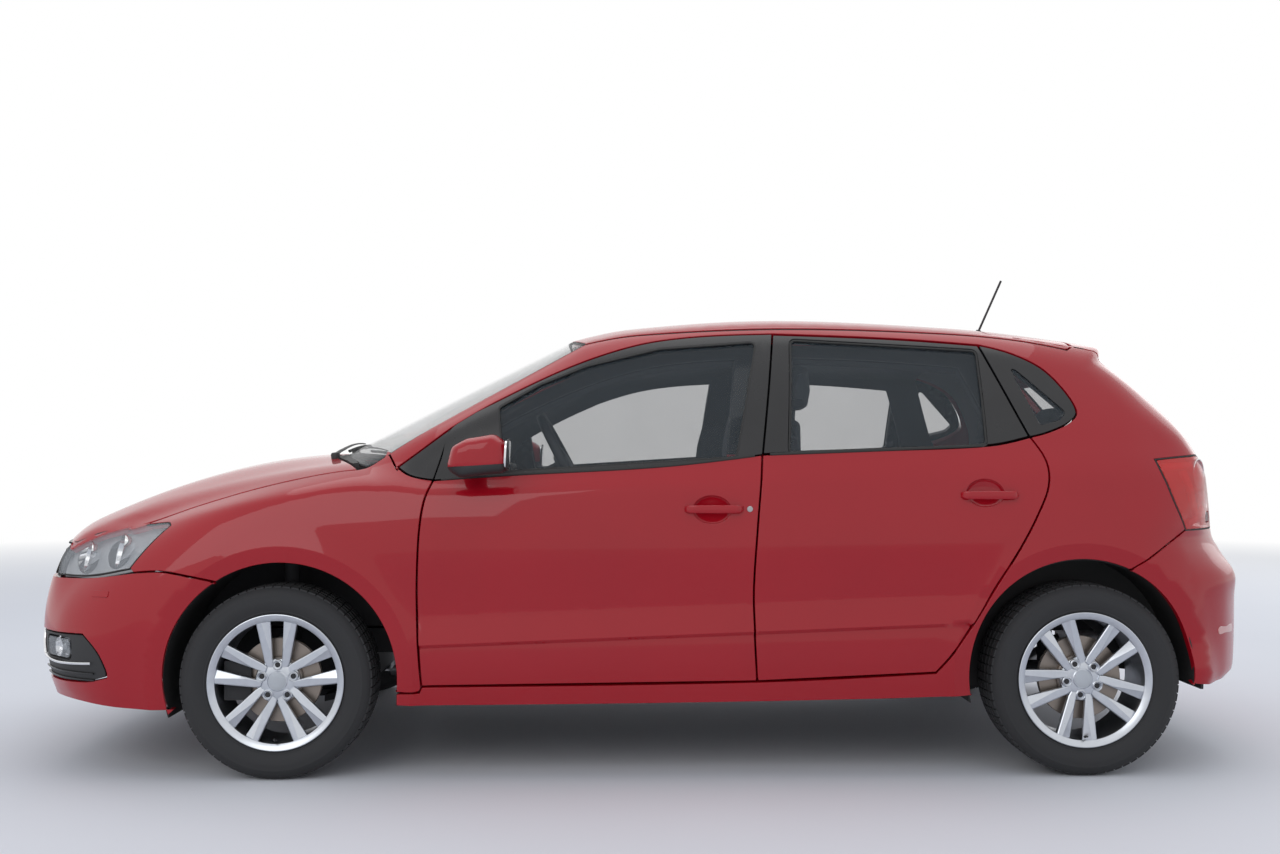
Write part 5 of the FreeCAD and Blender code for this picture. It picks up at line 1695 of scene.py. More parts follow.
@dataclass
class Wheels:
    """Tyres, rims with five pairs of spokes, bolts, hub caps, valves and brake discs."""

    spoke_stations: tuple[float, ...] = (44, 58, 74, 91, 112, 134, 156, 176, 189)
    tread_blocks: int = 68
    hub_z: float = 294.0

    TYRE = ((190.3, -73), (208, -76), (214, -80.5), (217, -80.5), (230, -87.5), (243, -91.6), (252, -92.3),
            (262, -91), (264, -91.4), (273, -87.5), (281, -82), (286.5, -75), (288, -66), (288, 66),
            (286.5, 75), (281, 82), (273, 87.5), (264, 91.4), (262, 91), (252, 92.3), (243, 91.6),
            (230, 87.5), (217, 80.5),
            (214, 80.5), (208, 76), (190.3, 73))
    BARREL = ((184, -80), (184, 69), (186, 74), (193, 79), (200, 81.5), (204.5, 82.8), (206.5, 82), (207, 80),
              (205.5, 77.6), (198, 76.6), (190, 74.2), (189.6, 66), (189.6, -66), (190, -74.2), (198, -76.6),
              (206, -78), (207, -81), (203, -83), (196, -82))
    TREAD_ROWS = ((-62, 25, 292.0, 3), (-33, 23, 293.6, 2), (0, 26, 293.8, 0), (33, 23, 293.6, -2),
                  (62, 25, 292.0, -3))
    """Each row of tread blocks: y, width, radius to its top, skew."""
    HUB = ((0, 30), (0, 57), (28, 57), (31, 54.5), (62, 53), (67, 50), (69, 44), (69, 30))
    CAP = ((0, 50), (0, 62.4), (12, 62), (22, 60.4), (26, 58.2), (27, 55), (27, 50))
    DISC = ((36, 4), (36, 37), (70, 37), (73, 34), (73, 24), (127, 24), (128, 23), (128, 17.5), (122, 17),
            (122, 11), (128, 10.5), (128, 5), (127, 4))
    LIP = ((11.5, 50), (11.5, 58.4), (13.4, 60.2), (15.6, 58.6), (17, 50))
    BOLT = ((0, 46), (0, 55.6), (6.8, 55.6), (8.6, 53.8), (8.6, 51.5), (11.2, 51), (11.2, 46))

    def build(self) -> None:
        """Make the four wheels."""
        rubber = Mould().turn(self.TYRE, steps=96).mesh(28.0)
        tread = Repeater.repeat(self.blocks().mesh(), self.tread_blocks, (0, 0, 0), 360 / self.tread_blocks,
                                Finishes.TYRE)
        spokes = Repeater.repeat(self.spokes().mesh(25.0), 5, (0, 0, 0), 72, Finishes.ALLOY)
        holes = Mould().turn(self.LIP, (50, 0, 0), steps=20)
        collars = Repeater.repeat(holes.mesh(), 5, (0, 0, 0), 72, Finishes.ALLOY)
        bolts = Repeater.repeat(Mould().turn(self.BOLT, (50, 0, 0), steps=12).mesh(), 5, (0, 0, 0), 72,
                                Finishes.STEEL)
        barrel = Mould().turn(self.BARREL, steps=96).mesh(25.0)
        hub = Mould().turn(self.HUB, steps=48).mesh()
        cap = Mould().turn(self.CAP, steps=40).mesh(30.0)
        disc = Mould().turn(self.DISC, steps=72).mesh()
        valve = Mould().tube(((0, 70, -176), (0, 80, -172), (0, 92, -170)), (3.6, 3.4, 3.0), 10).mesh()
        for axle in Axle:
            for side in Side:
                label = f"{axle.name.lower()}_{side.word}"
                for kind, meshes, finish, turned, nodes in (
                        ("tyre", (rubber, tread), Finishes.TYRE, False, (f"tyre_{label}",)),
                        ("rim", (barrel, spokes, collars, hub), Finishes.ALLOY, True, (f"rim_{label}",)),
                        ("hub cap", (cap,), Finishes.CAP, True, ()),
                        ("wheel bolts", (bolts,), Finishes.TRIM, True, ()),
                        ("brake disc", (disc,), Finishes.DISC, False, ()),
                        ("valve", (valve,), Finishes.BLACK, False, ())):
                    mesh = self.placed(meshes, axle, side, turned)
                    fit(mesh, f"{kind}_{label}", finish, f"wheel_{label}", *nodes)

    def placed(self, meshes: Sequence[bpy.types.Mesh], axle: Axle, side: Side,
               turned: bool) -> bpy.types.Mesh:
        """Meshes joined, turned to the first spoke's direction and moved to one wheel."""
        x, half_track, first = axle.value
        spin = Matrix.Rotation(math.radians(-first if turned else 0.0), 4, "Y")
        shift = Matrix.Translation(Vector((x, half_track, self.hub_z)) * MM)
        mirror = Matrix.Diagonal((1.0, float(side.value), 1.0, 1.0))
        edit = bmesh.new()
        for mesh in meshes:
            edit.from_mesh(mesh)
        edit.transform(mirror @ shift @ spin)
        if side is Side.LEFT:
            bmesh.ops.reverse_faces(edit, faces=edit.faces)
        for face in edit.faces:
            face.material_index = 0
        made = bpy.data.meshes.new("wheel part")
        edit.to_mesh(made)
        edit.free()
        return made

    def blocks(self) -> Mould:
        """One row of tread blocks across the tyre."""
        mould = Mould()
        pitch = 2 * math.pi * 293.6 / self.tread_blocks
        long = pitch - 3.4
        for y, width, top, skew in self.TREAD_ROWS:
            half = width / 2
            outer = math.copysign(2.2 if abs(y) > 50 else 0.0, y)
            low = [(285.0, y - half, -long / 2), (285.0, y + half, -long / 2 + skew),
                   (285.0, y + half, long / 2 + skew), (285.0, y - half, long / 2)]
            high = [(top - outer * math.copysign(0.5, b[1] - y), y + (b[1] - y) * 0.93, b[2] * 0.95)
                    for b in low]
            mould.loft([np.array(low), np.array(high)])
        return mould

    def spokes(self) -> Mould:
        """One pair of creased spokes, along the X axis with y outwards."""
        mould = Mould()
        for mirror in (1, -1):
            loops = []
            for r in self.spoke_stations:
                inner = float(np.interp(r, (44, 186), (13.5, 20)))
                outer = float(np.interp(r, (44, 58, 176, 189), (33, 39, 63, 69)))
                crest = float(np.interp(r, (44, 91, 180, 189), (15, 19, 45, 47)))
                top = float(np.interp(r, (44, 186), (59, 73.6)))
                drop = float(np.interp(r, (60, 100, 186), (0.4, 3.0, 8.0)))
                back = top - float(np.interp(r, (44, 186), (17, 20)))
                loop = ((inner + 1.5, back), (inner, back + 3),
                        (inner, top - drop - 1.6), (inner + 1.2, top - drop),
                        (crest - 0.8, top - 1.0), (crest + 0.8, top), (outer - 4.5, top - 0.6),
                        (outer - 1.6, top - 2.2), (outer, top - 5.5), (outer, back + 4), (outer - 2.5, back))
                loops.append(np.array([(r, h, mirror * t) for t, h in loop]))
            mould.loft(loops)
        return mould


@dataclass
class Mirrors:
    """Door mirrors: a painted housing over a black base, and the glass."""

    OUTLINE = ((-585, 1008), (-540, 1032), (-455, 1046), (-424, 1022), (-415, 978), (-420, 932), (-560, 915),
               (-601, 942))
    MIDDLE = (-500.0, 978.0)
    SECTIONS = ((832, 0.66), (838, 0.82), (848, 0.92), (866, 0.98), (900, 1.0), (924, 0.95), (938, 0.84),
                (945, 0.70), (947.8, 0.5))

    def build(self) -> None:
        """Make both mirrors."""
        loop = rounded_loop(np.array(self.OUTLINE, float), 30.0, 14.0)
        housing, base = Mould(), Mould()
        shells: tuple[list[Array], list[Array]] = ([], [])
        for y, scale in self.SECTIONS:
            flat = np.array(self.MIDDLE) + (loop - self.MIDDLE) * scale
            shells[0].append(beside(flat, y))
            lower = np.array(self.MIDDLE) + (loop - self.MIDDLE) * (scale * 0.99 + 0.015)
            lower[:, 1] = np.minimum(lower[:, 1], 953.0 + (lower[:, 0] + 500) * 0.06)
            shells[1].append(beside(lower, y + (0.4 if y > 900 else -0.4)))
        housing.loft(shells[0])
        base.loft(shells[1])
        foot = rounded_box(64, 34, 9)
        base.loft([lay(foot * s, (x, y, z), (1, 0, 0), (0, 0, 1))
                   for x, y, z, s in ((-535, 786, 944, 1.2), (-530, 806, 944, 1.0),
                                      (-522, 832, 944, 0.95), (-515, 852, 946, 0.9))])
        glass = Mould()
        face = rounded_box(86, 84, 22)
        glass.loft([lay(face * s, (x, 892, 984), (0, 1, 0), (0.05, 0, 1)) for x, s in
                    ((-426, 1.0), (-414.5, 1.0), (-414, 0.97))])
        rim = Mould().tube(lay(rounded_box(92, 90, 25), (-417, 892, 984), (0, 1, 0), (0.05, 0, 1)), 3.2, 6,
                           closed=True)
        body = "door_front_{}"
        fit_sides(housing, "mirror housing", Finishes.RED, body, "mirror_{}", angle=50.0)
        fit_sides(base, "mirror base", Finishes.BLACK, body, angle=50.0)
        fit_sides(glass, "mirror glass", Finishes.CHROME, body)
        fit_sides(rim, "mirror rim", Finishes.BLACK, body)


@dataclass
class Lamps:
    """Head lamps with reflectors, fog lamps and tail lamps."""

    body: str = "body_shell"

    HEAD_BOWLS = (((-1782, 628, 664), 46), ((-1668, 692, 692), 52))
    TAIL_BOWLS = (((1716, 664, 925), 44), ((1752, 640, 828), 38))
    TAIL_GUIDES = ((((1612, 772, 951), (1660, 742, 955), (1722, 694, 958)), 22.0),
                   (((1690, 762, 938), (1700, 757, 890), (1722, 740, 830), (1738, 722, 795)), 26.0),
                   (((1694, 762, 768), (1735, 728, 782), (1785, 672, 812)), 22.0))
    BOWL = ((1.0, 0.0), (0.9, -0.34), (0.7, -0.62), (0.42, -0.82), (0.0, -0.9), (0.0, -0.95), (0.45, -0.88),
            (0.76, -0.66), (0.97, -0.36), (1.08, 0.0))
    BULB = ((0, -0.86), (0, -0.34), (0.1, -0.3), (0.16, -0.36), (0.16, -0.86))

    def build(self) -> None:
        """Make every lamp."""
        self.head()
        self.tail()
        self.fog()

    def bowls(self, spots: Sequence[tuple[Point, float]], out: Point, sink: float) -> Mould:
        """Reflector bowls with their bulbs, set back from the skin along a direction."""
        mould = Mould()
        for spot, radius in spots:
            centre = on_skin(np.array([spot], float), FROM_LAMP if out[0] < 0 else TAIL_LAMP_VIEW)[0]
            centre = tuple(centre - np.array(frame_of(out)[2]) * sink)
            for shape in (self.BOWL, self.BULB):
                mould.turn([(r * radius, h * radius) for r, h in shape], centre, out, 40)
        return mould

    def head(self) -> None:
        """The head lamps."""
        loop = traced(FROM_LAMP, LAMP_LOW, LAMP_REAR, LAMP_TOP,
                      ((-1628, 655, 777), (-1740, 618, 752), (-1837, 592, 722), (-1852, 560, 718)),
                      ((-1852, 560, 718), (-1868, 566, 660), (-1862, 600, 599)))
        lens = panel(loop, view=FROM_LAMP, depth=5.0, step=22.0, level=-0.5, gap=2.0, edge=1.6)
        fit_pair(lens, "head lamp lens", Finishes.LENS, self.body, "head_lamps")
        holes = []
        for spot, radius in self.HEAD_BOWLS:
            face = rounded_box(2 * radius, 2 * radius, radius - 0.01, 7)
            holes.append(on_skin(lay(face, spot, (0.66, 0.75, 0), (0, -0.5, 0.87)), FROM_LAMP))
        bezel = panel(loop, holes, FROM_LAMP, 3.0, -26.0, 5.0, 16.0, 1.0)
        fit_pair(bezel, "head lamp bezel", Finishes.SATIN, self.body)
        back = panel(loop, view=FROM_LAMP, depth=3.0, step=30.0, level=-84.0, gap=3.0, edge=1.0)
        fit_pair(back, "head lamp back", Finishes.BLACK, self.body)
        bowls = self.bowls(self.HEAD_BOWLS, (-0.78, 0.42, 0.2), 20.0)
        fit_sides(bowls, "head lamp reflectors", Finishes.CHROME, self.body)
        border = Mould().bar(loop, rounded_box(5.0, 7.0, 2.0, 2) - (0, 4.0), closed=True)
        fit_sides(border, "head lamp seal", Finishes.SEAL, self.body)

    def tail(self) -> None:
        """The tail lamps."""
        loop = traced(TAIL_LAMP_VIEW, TAIL_LAMP_TOP, TAIL_LAMP_FRONT, ((1673, 776, 750), (1822, 598, 750)),
                      GATE_LAMP_EDGE[::-1])
        clear = on_skin(lay(rounded_box(62, 30, 12), (1790, 650, 786), (0.62, -0.78, 0), (0, 0, 1)),
                        TAIL_LAMP_VIEW)
        lens = panel(loop, [clear], TAIL_LAMP_VIEW, 5.0, 1.0, 2.5, 22.0, 1.6)
        fit_pair(lens, "tail lamp lens", Finishes.RED_LENS, self.body, "tail_lamps")
        window = panel(clear, (), TAIL_LAMP_VIEW, 4.0, 1.0, 0.5, 18.0, 0.8)
        fit_pair(window, "reversing lamp lens", Finishes.LENS, self.body)
        back = panel(loop, view=TAIL_LAMP_VIEW, depth=4.0, step=30.0, level=-52.0, gap=3.0, edge=1.0)
        fit_pair(back, "tail lamp back", Finishes.SATIN, self.body)
        guides = Mould()
        for points, wide in self.TAIL_GUIDES:
            guides.bar(line(points, TAIL_LAMP_VIEW), rounded_box(wide, 14.0, 4.0, 3) - (0, 14.0))
        fit_sides(guides, "tail lamp light guides", Finishes.GUIDE, self.body)
        bowls = self.bowls(self.TAIL_BOWLS, (0.72, 0.69, 0.0), 9.0)
        fit_sides(bowls, "tail lamp reflectors", Finishes.CHROME, self.body)
        border = Mould().bar(loop, rounded_box(6.0, 7.0, 2.0, 2) - (0, 3.6), closed=True)
        fit_sides(border, "tail lamp seal", Finishes.SEAL, self.body)

    @staticmethod
    def fog_loop(side: int, grow: float = 0.0) -> Array:
        """The oblong window of a fog lamp, on the skin beside the lower grille."""
        face = rounded_box(150.0 + grow, 60.0 + grow, 17.0)
        return on_skin(lay(face, (-1822, side * 686, 388), (0.78, side * 0.62, 0), (0, 0, 1)), NOSE_WRAP)

    def fog(self) -> None:
        """The fog lamps beside the lower grille: bowl, clear window and the plated strip below it."""
        loop = self.fog_loop(1)
        out = (-0.72, 0.69, 0.0)
        centre = on_skin(np.array([(-1822.0, 686.0, 388.0)]), NOSE_WRAP)[0] - np.array(out) * 12.0
        bowl = Mould()
        for shape in (self.BOWL, self.BULB):
            bowl.turn([(r * 27, h * 27) for r, h in shape], tuple(centre), out, 36)
        fit_sides(bowl, "fog lamp reflector", Finishes.CHROME, self.body)
        lens = panel(loop, view=NOSE_WRAP, depth=4.0, step=16.0, level=-3.0, gap=1.0, edge=1.2)
        fit_pair(lens, "fog lamp lens", Finishes.LENS, self.body)
        back = panel(loop, view=NOSE_WRAP, depth=3.0, step=20.0, level=-42.0, gap=0.0, edge=1.0)
        fit_pair(back, "fog lamp back", Finishes.SATIN, self.body)
        strip = chain(line(((-1938, 520, 424), (-1922, 556, 388), (-1908, 580, 352)), NOSE_WRAP),
                      line(((-1908, 580, 352), (-1812, 694, 344), (-1672, 758, 350)), NOSE_WRAP))
        fit_sides(Mould().bar(strip, rounded_box(8.0, 10.0, 2.4, 3) - (0, 1.0)), "fog lamp strip",
                  Finishes.CHROME, self.body)
        for z in (318.0, 298.0):
            rib = line(((-1900, 585, z), (-1806, 694, z), (-1668, 762, z)), NOSE_WRAP)
            fit_sides(Mould().bar(rib, rounded_box(5.0, 7.0, 1.8, 2) - (0, 2.0)), f"fog lamp rib {z:.0f}",
                      Finishes.TRIM, self.body)


@dataclass
class Grilles:
    """The grille between the lamps and the lower grille, each a frame with slats before a dark duct."""

    body: str = "body_shell"
    slats: int = 4

    UPPER = (((-1936, 0, 738), (-1908, 350, 734), (-1852, 556, 720)), ((-1852, 556, 720), (-1876, 560, 604)),
             ((-1876, 560, 604), (-1925, 350, 604), (-1956, 0, 604)))
    UPPER_HOLE = (((-1942, 0, 722), (-1914, 350, 718), (-1872, 520, 708)),
                  ((-1872, 520, 708), (-1888, 530, 622)),
                  ((-1888, 530, 622), (-1930, 350, 620), (-1960, 0, 620)))
    LOWER_HOLE = (((-1984, 0, 416), (-1925, 500, 416), (-1890, 590, 414)),
                  ((-1890, 590, 414), (-1880, 600, 304)),
                  ((-1880, 600, 304), (-1925, 500, 300), (-1978, 0, 300)))

    def build(self) -> None:
        """Make both grilles."""
        upper, upper_hole, lower, lower_hole = (
            across(traced(NOSE_WRAP, *runs))
            for runs in (self.UPPER, self.UPPER_HOLE, MOUTH, self.LOWER_HOLE))
        fog_holes = [Lamps.fog_loop(side.value, 6.0) for side in Side]
        for name, loop, holes, (low, high), rim in (
                ("grille", upper, [upper_hole], (634.0, 706.0), Finishes.TRIM),
                ("lower grille", lower, [lower_hole, *fog_holes], (322.0, 396.0), Finishes.BLACK)):
            frame_shape = panel(loop, holes, NOSE_WRAP, 34.0, -4.0, 2.0, 24.0, 2.0)
            fit_shape(frame_shape, f"{name} frame", rim, self.body, name.replace(" ", "_"))
            duct = panel(loop, (), NOSE_WRAP, 3.0, -62.0, 8.0, 60.0, 1.0)
            fit_shape(duct, f"{name} duct", Finishes.SEAL, self.body)
            middle = line(((-1986, 0, low), (-1925, 350, low), (-1876, 552, low)), NOSE_WRAP)
            slat_line = chain(middle[::-1], middle[1:] * (1, -1, 1))
            up = SKIN.normals(slat_line)
            slat = Mould().bar(slat_line - up * 20.0, rounded_box(6.0, 24.0, 2.4, 2))
            ends = [on_skin(np.array([(-1986.0, 0.0, z)]), NOSE_WRAP)[0] for z in (low, high)]
            step = (ends[1] - ends[0]) / (self.slats - 1)
            mesh = Repeater.repeat(slat.mesh(), self.slats, tuple(step), 0.0, Finishes.TRIM)
            fit(mesh, f"{name} slats", Finishes.TRIM, self.body)


@dataclass
class Fittings:
    """Handles, locks, seals, wipers, plates and the other small outside parts."""

    body: str = "body_shell"

    LOCK = (312.0, 819.0)
    HANDLES = (("front", 112.0, 294.0, 819.0), ("rear", 956.0, 1137.0, 861.0))
    """Each handle: door, x of its two ends, height."""
    HANDLE_STATIONS = (0.0, 0.03, 0.08, 0.16, 0.3, 0.5, 0.7, 0.84, 0.92, 0.97, 1.0)
    BLADE = ((-1.2, 3.0), (1.2, 3.0), (3.4, 9.0), (2.6, 13.0), (-2.6, 13.0), (-3.4, 9.0))
    LINERS = (("front", FRONT_ARCH, (-8.0, 199.0), ((560, 5), (560, 9), (806, 9), (806, 5))),
              ("rear", REAR_ARCH, (-6.0, 195.0),
               ((600, -190), (600, 9), (806, 9), (806, 5), (605, 5), (605, -190))))
    """Each arch liner: arch, its two end angles, its section as (y, height over the arch)."""

    def build(self) -> None:
        """Make the small outside parts."""
        self.handles()
        self.seals()
        self.wipers()
        self.liners()
        self.plates()
        self.rear_details()

    def handles(self) -> None:
        """Bar handles over their recesses, and the key locks."""
        for door, x0, x1, z in self.HANDLES:
            loops = []
            for t in self.HANDLE_STATIONS:
                x = x0 + (x1 - x0) * t
                skin = on_skin(np.array([(x, 900.0, z)]))[0][1]
                rise = min(1.0, min(t, 1 - t) / 0.1)
                tall = 17.0 + 8.0 * min(1.0, min(t, 1 - t) / 0.08) - 3.0 * abs(t - 0.5)
                reach = skin - 7.0 + 24.0 * rise ** 0.6
                loops.append(lay(rounded_box(11.0, tall, 4.5), (x, reach, z), (0, 1, 0), (0, 0, 1)))
            fit_sides(Mould().loft(loops), f"{door} door handle", Finishes.RED, f"door_{door}_{{}}",
                      angle=60.0)
        x, z = self.LOCK
        skin = on_skin(np.array([(x, 900.0, z)]))[0][1]
        lock = Mould().turn(((0, -4), (9, -4), (9, 1.6), (8, 2.6), (3, 2.8), (0, 2.8)), (x, skin, z),
                            steps=24)
        lock.block((x, skin + 2.9, z), (1.2, 0.8, 9.0), 0.3)
        fit_sides(lock, "door lock", Finishes.STEEL, "door_front_{}")

    def seals(self) -> None:
        """Waist seals, window run seals, roof groove strips and screen seals."""
        small = rounded_box(9.0, 7.0, 2.5, 2)
        for door, belt, glass in (("front", BELT_FRONT, FRONT_GLASS), ("rear", BELT_REAR[:3], REAR_GLASS)):
            body = f"door_{door}_{{}}"
            strip = Mould().bar(line(belt)[2:-2], small - (0, 1.0))
            fit_sides(strip, f"{door} waist seal", Finishes.SEAL, body)
            run = Mould().bar(side_loop(glass), rounded_box(7.0, 6.0, 2.0, 2) - (0, 4.0), closed=True)
            fit_sides(run, f"{door} window seal", Finishes.SEAL, body)
        groove = line(((-196, 554, 1340), (400, 554, 1400), (1380, 554, 1372)), FROM_ABOVE)
        fit_sides(Mould().bar(groove, rounded_box(14.0, 6.0, 2.0, 2) - (0, 6.5)), "roof groove strip",
                  Finishes.SEAL, self.body)
        edge = traced(FROM_ABOVE, SCREEN_EDGE, ((-196, 556, 1340), (-246, 350, 1370), (-262, 0, 1384)))
        edge = chain(edge, (edge[::-1] * (1, -1, 1))[1:])
        screen = Mould().bar(edge, rounded_box(12.0, 6.0, 2.0, 2) - (0, 5.5))
        fit_mould(screen, "windscreen seal", Finishes.SEAL, self.body)
        window = Mould().bar(BodyPanels.window_loop(2.0), rounded_box(9.0, 6.0, 2.0, 2) - (0, 3.5), True)
        fit_mould(window, "rear window seal", Finishes.SEAL, "tailgate")

    def wipers(self) -> None:
        """Two front wipers and the rear one."""
        for name, body, pivot, tip, blade, rise in (
                ("left wiper", self.body, (-1020, -470, 985), (-1000, 60, 1000), 0.62, FROM_ABOVE),
                ("right wiper", self.body, (-1048, 10, 990), (-985, 470, 1000), 0.6, FROM_ABOVE),
                ("rear wiper", "tailgate", (1850, 0, 1010), (1818, -300, 1066), 0.55, FROM_BEHIND)):
            run = line((pivot, tip), rise, 20.0)
            up = SKIN.normals(run)
            count = len(run)
            share = np.linspace(0, 1, count)[:, None]
            arm = run + up * (10.0 + 14.0 * np.sin(share * math.pi) ** 0.7)
            arm = arm[:int(count * 0.86)]
            mould = Mould().tube(arm, np.linspace(8.0, 4.0, len(arm)), 8, 0.55)
            mould.turn(((0, -14), (15, -14), (15, 8), (12, 13), (0, 14)), tuple(run[0] + up[0] * 6),
                       tuple(up[0]), 20)
            fit_mould(mould, name, Finishes.BLACK, body)
            rubber = run[int(count * (1 - blade)):]
            fit_mould(Mould().bar(rubber, np.array(self.BLADE)), f"{name} blade", Finishes.SEAL, body)

    def liners(self) -> None:
        """Black liners of the wheel arches; the rear ones have a wall on their inner side."""
        for name, ((x, z), radius), (start, end), profile in self.LINERS:
            sections = []
            for angle in np.radians(np.linspace(start, end, 60)):
                sections.append(beside(np.array([(x + (radius + r) * math.cos(angle),
                                                  z + (radius + r) * math.sin(angle)) for _, r in profile]),
                                       0.0) + np.array([(0.0, y, 0.0) for y, _ in profile]))
            fit_sides(Mould().loft(sections), f"{name} arch liner", Finishes.SEAL, self.body)

    def plates(self) -> None:
        """Blank number plates on black carriers."""
        for name, body, x, z, lean, node_side in (("front", self.body, -1994.0, 512.0, 0.05, -1),
                                                  ("rear", "tailgate", 1906.0, 822.0, -0.10, 1)):
            up = (lean, 0, 1)
            skin = on_skin(np.array([(x, 0.0, z)]), NOSE_WRAP if node_side < 0 else TAIL_WRAP)[0][0]
            for part, size, finish, out in (("carrier", (528, 122), Finishes.BLACK, 0.0),
                                            ("plate", (520, 112), Finishes.PLATE, 2.2)):
                face = rounded_box(*size, 8.0)
                at = skin - 3.0 * node_side
                mould = Mould().loft([lay(face * s, (at + node_side * (o + out), 0, z), (0, 1, 0), up)
                                      for o, s in ((-4.0, 1.0), (0.8, 1.0), (1.4, 0.994))])
                fit_mould(mould, f"{name} number {part}", finish, body)

    def rear_details(self) -> None:
        """Tailgate grip, high brake lamp, lower black strip and the bumpers' reflectors and markers."""
        for name, run, view, section, finish, body in (
                ("high brake lamp", ((1583, -150, 1336), (1590, 0, 1338), (1583, 150, 1336)), FROM_BEHIND,
                 (16.0, 6.0, 2.4, 2), Finishes.RED_LENS, "tailgate"),
                ("tailgate grip", ((1900, -180, 905), (1915, 0, 905), (1900, 180, 905)), TAIL_WRAP,
                 (24.0, 14.0, 5.0, 2), Finishes.RED, "tailgate")):
            fit_mould(Mould().bar(line(run, view, 20.0), rounded_box(*section)), name, finish, body)
        for name, centre, ahead, size, view, finish in (
                # The reflector's pale pink finish is a red lens lightened as a painted sky reflection.
                ("rear bumper reflector", (1824, 700, 435), (0.66, -0.75, 0), (118, 25, 12), TAIL_WRAP,
                 Finishes.MARKER),
                ("front bumper marker", (-1670, 776, 560), (0.9, 0.43, 0), (66, 20, 5), NOSE_WRAP,
                 Finishes.RED)):
            ring = on_skin(lay(rounded_box(*size), centre, ahead, (0, 0, 1)), view)
            fit_pair(panel(ring, (), view, 4.0, 2.5, 0.0, 12.0, 1.5), name, finish, self.body)
        strip = ((1890, -430, 285), (1915, -250, 270), (1925, 0, 268), (1915, 250, 270), (1890, 430, 285))
        valance = Mould().bar(line(strip, TAIL_WRAP, 20.0), rounded_box(52.0, 8.0, 3.0, 2))
        fit_mould(valance, "rear valance", Finishes.BLACK, self.body)


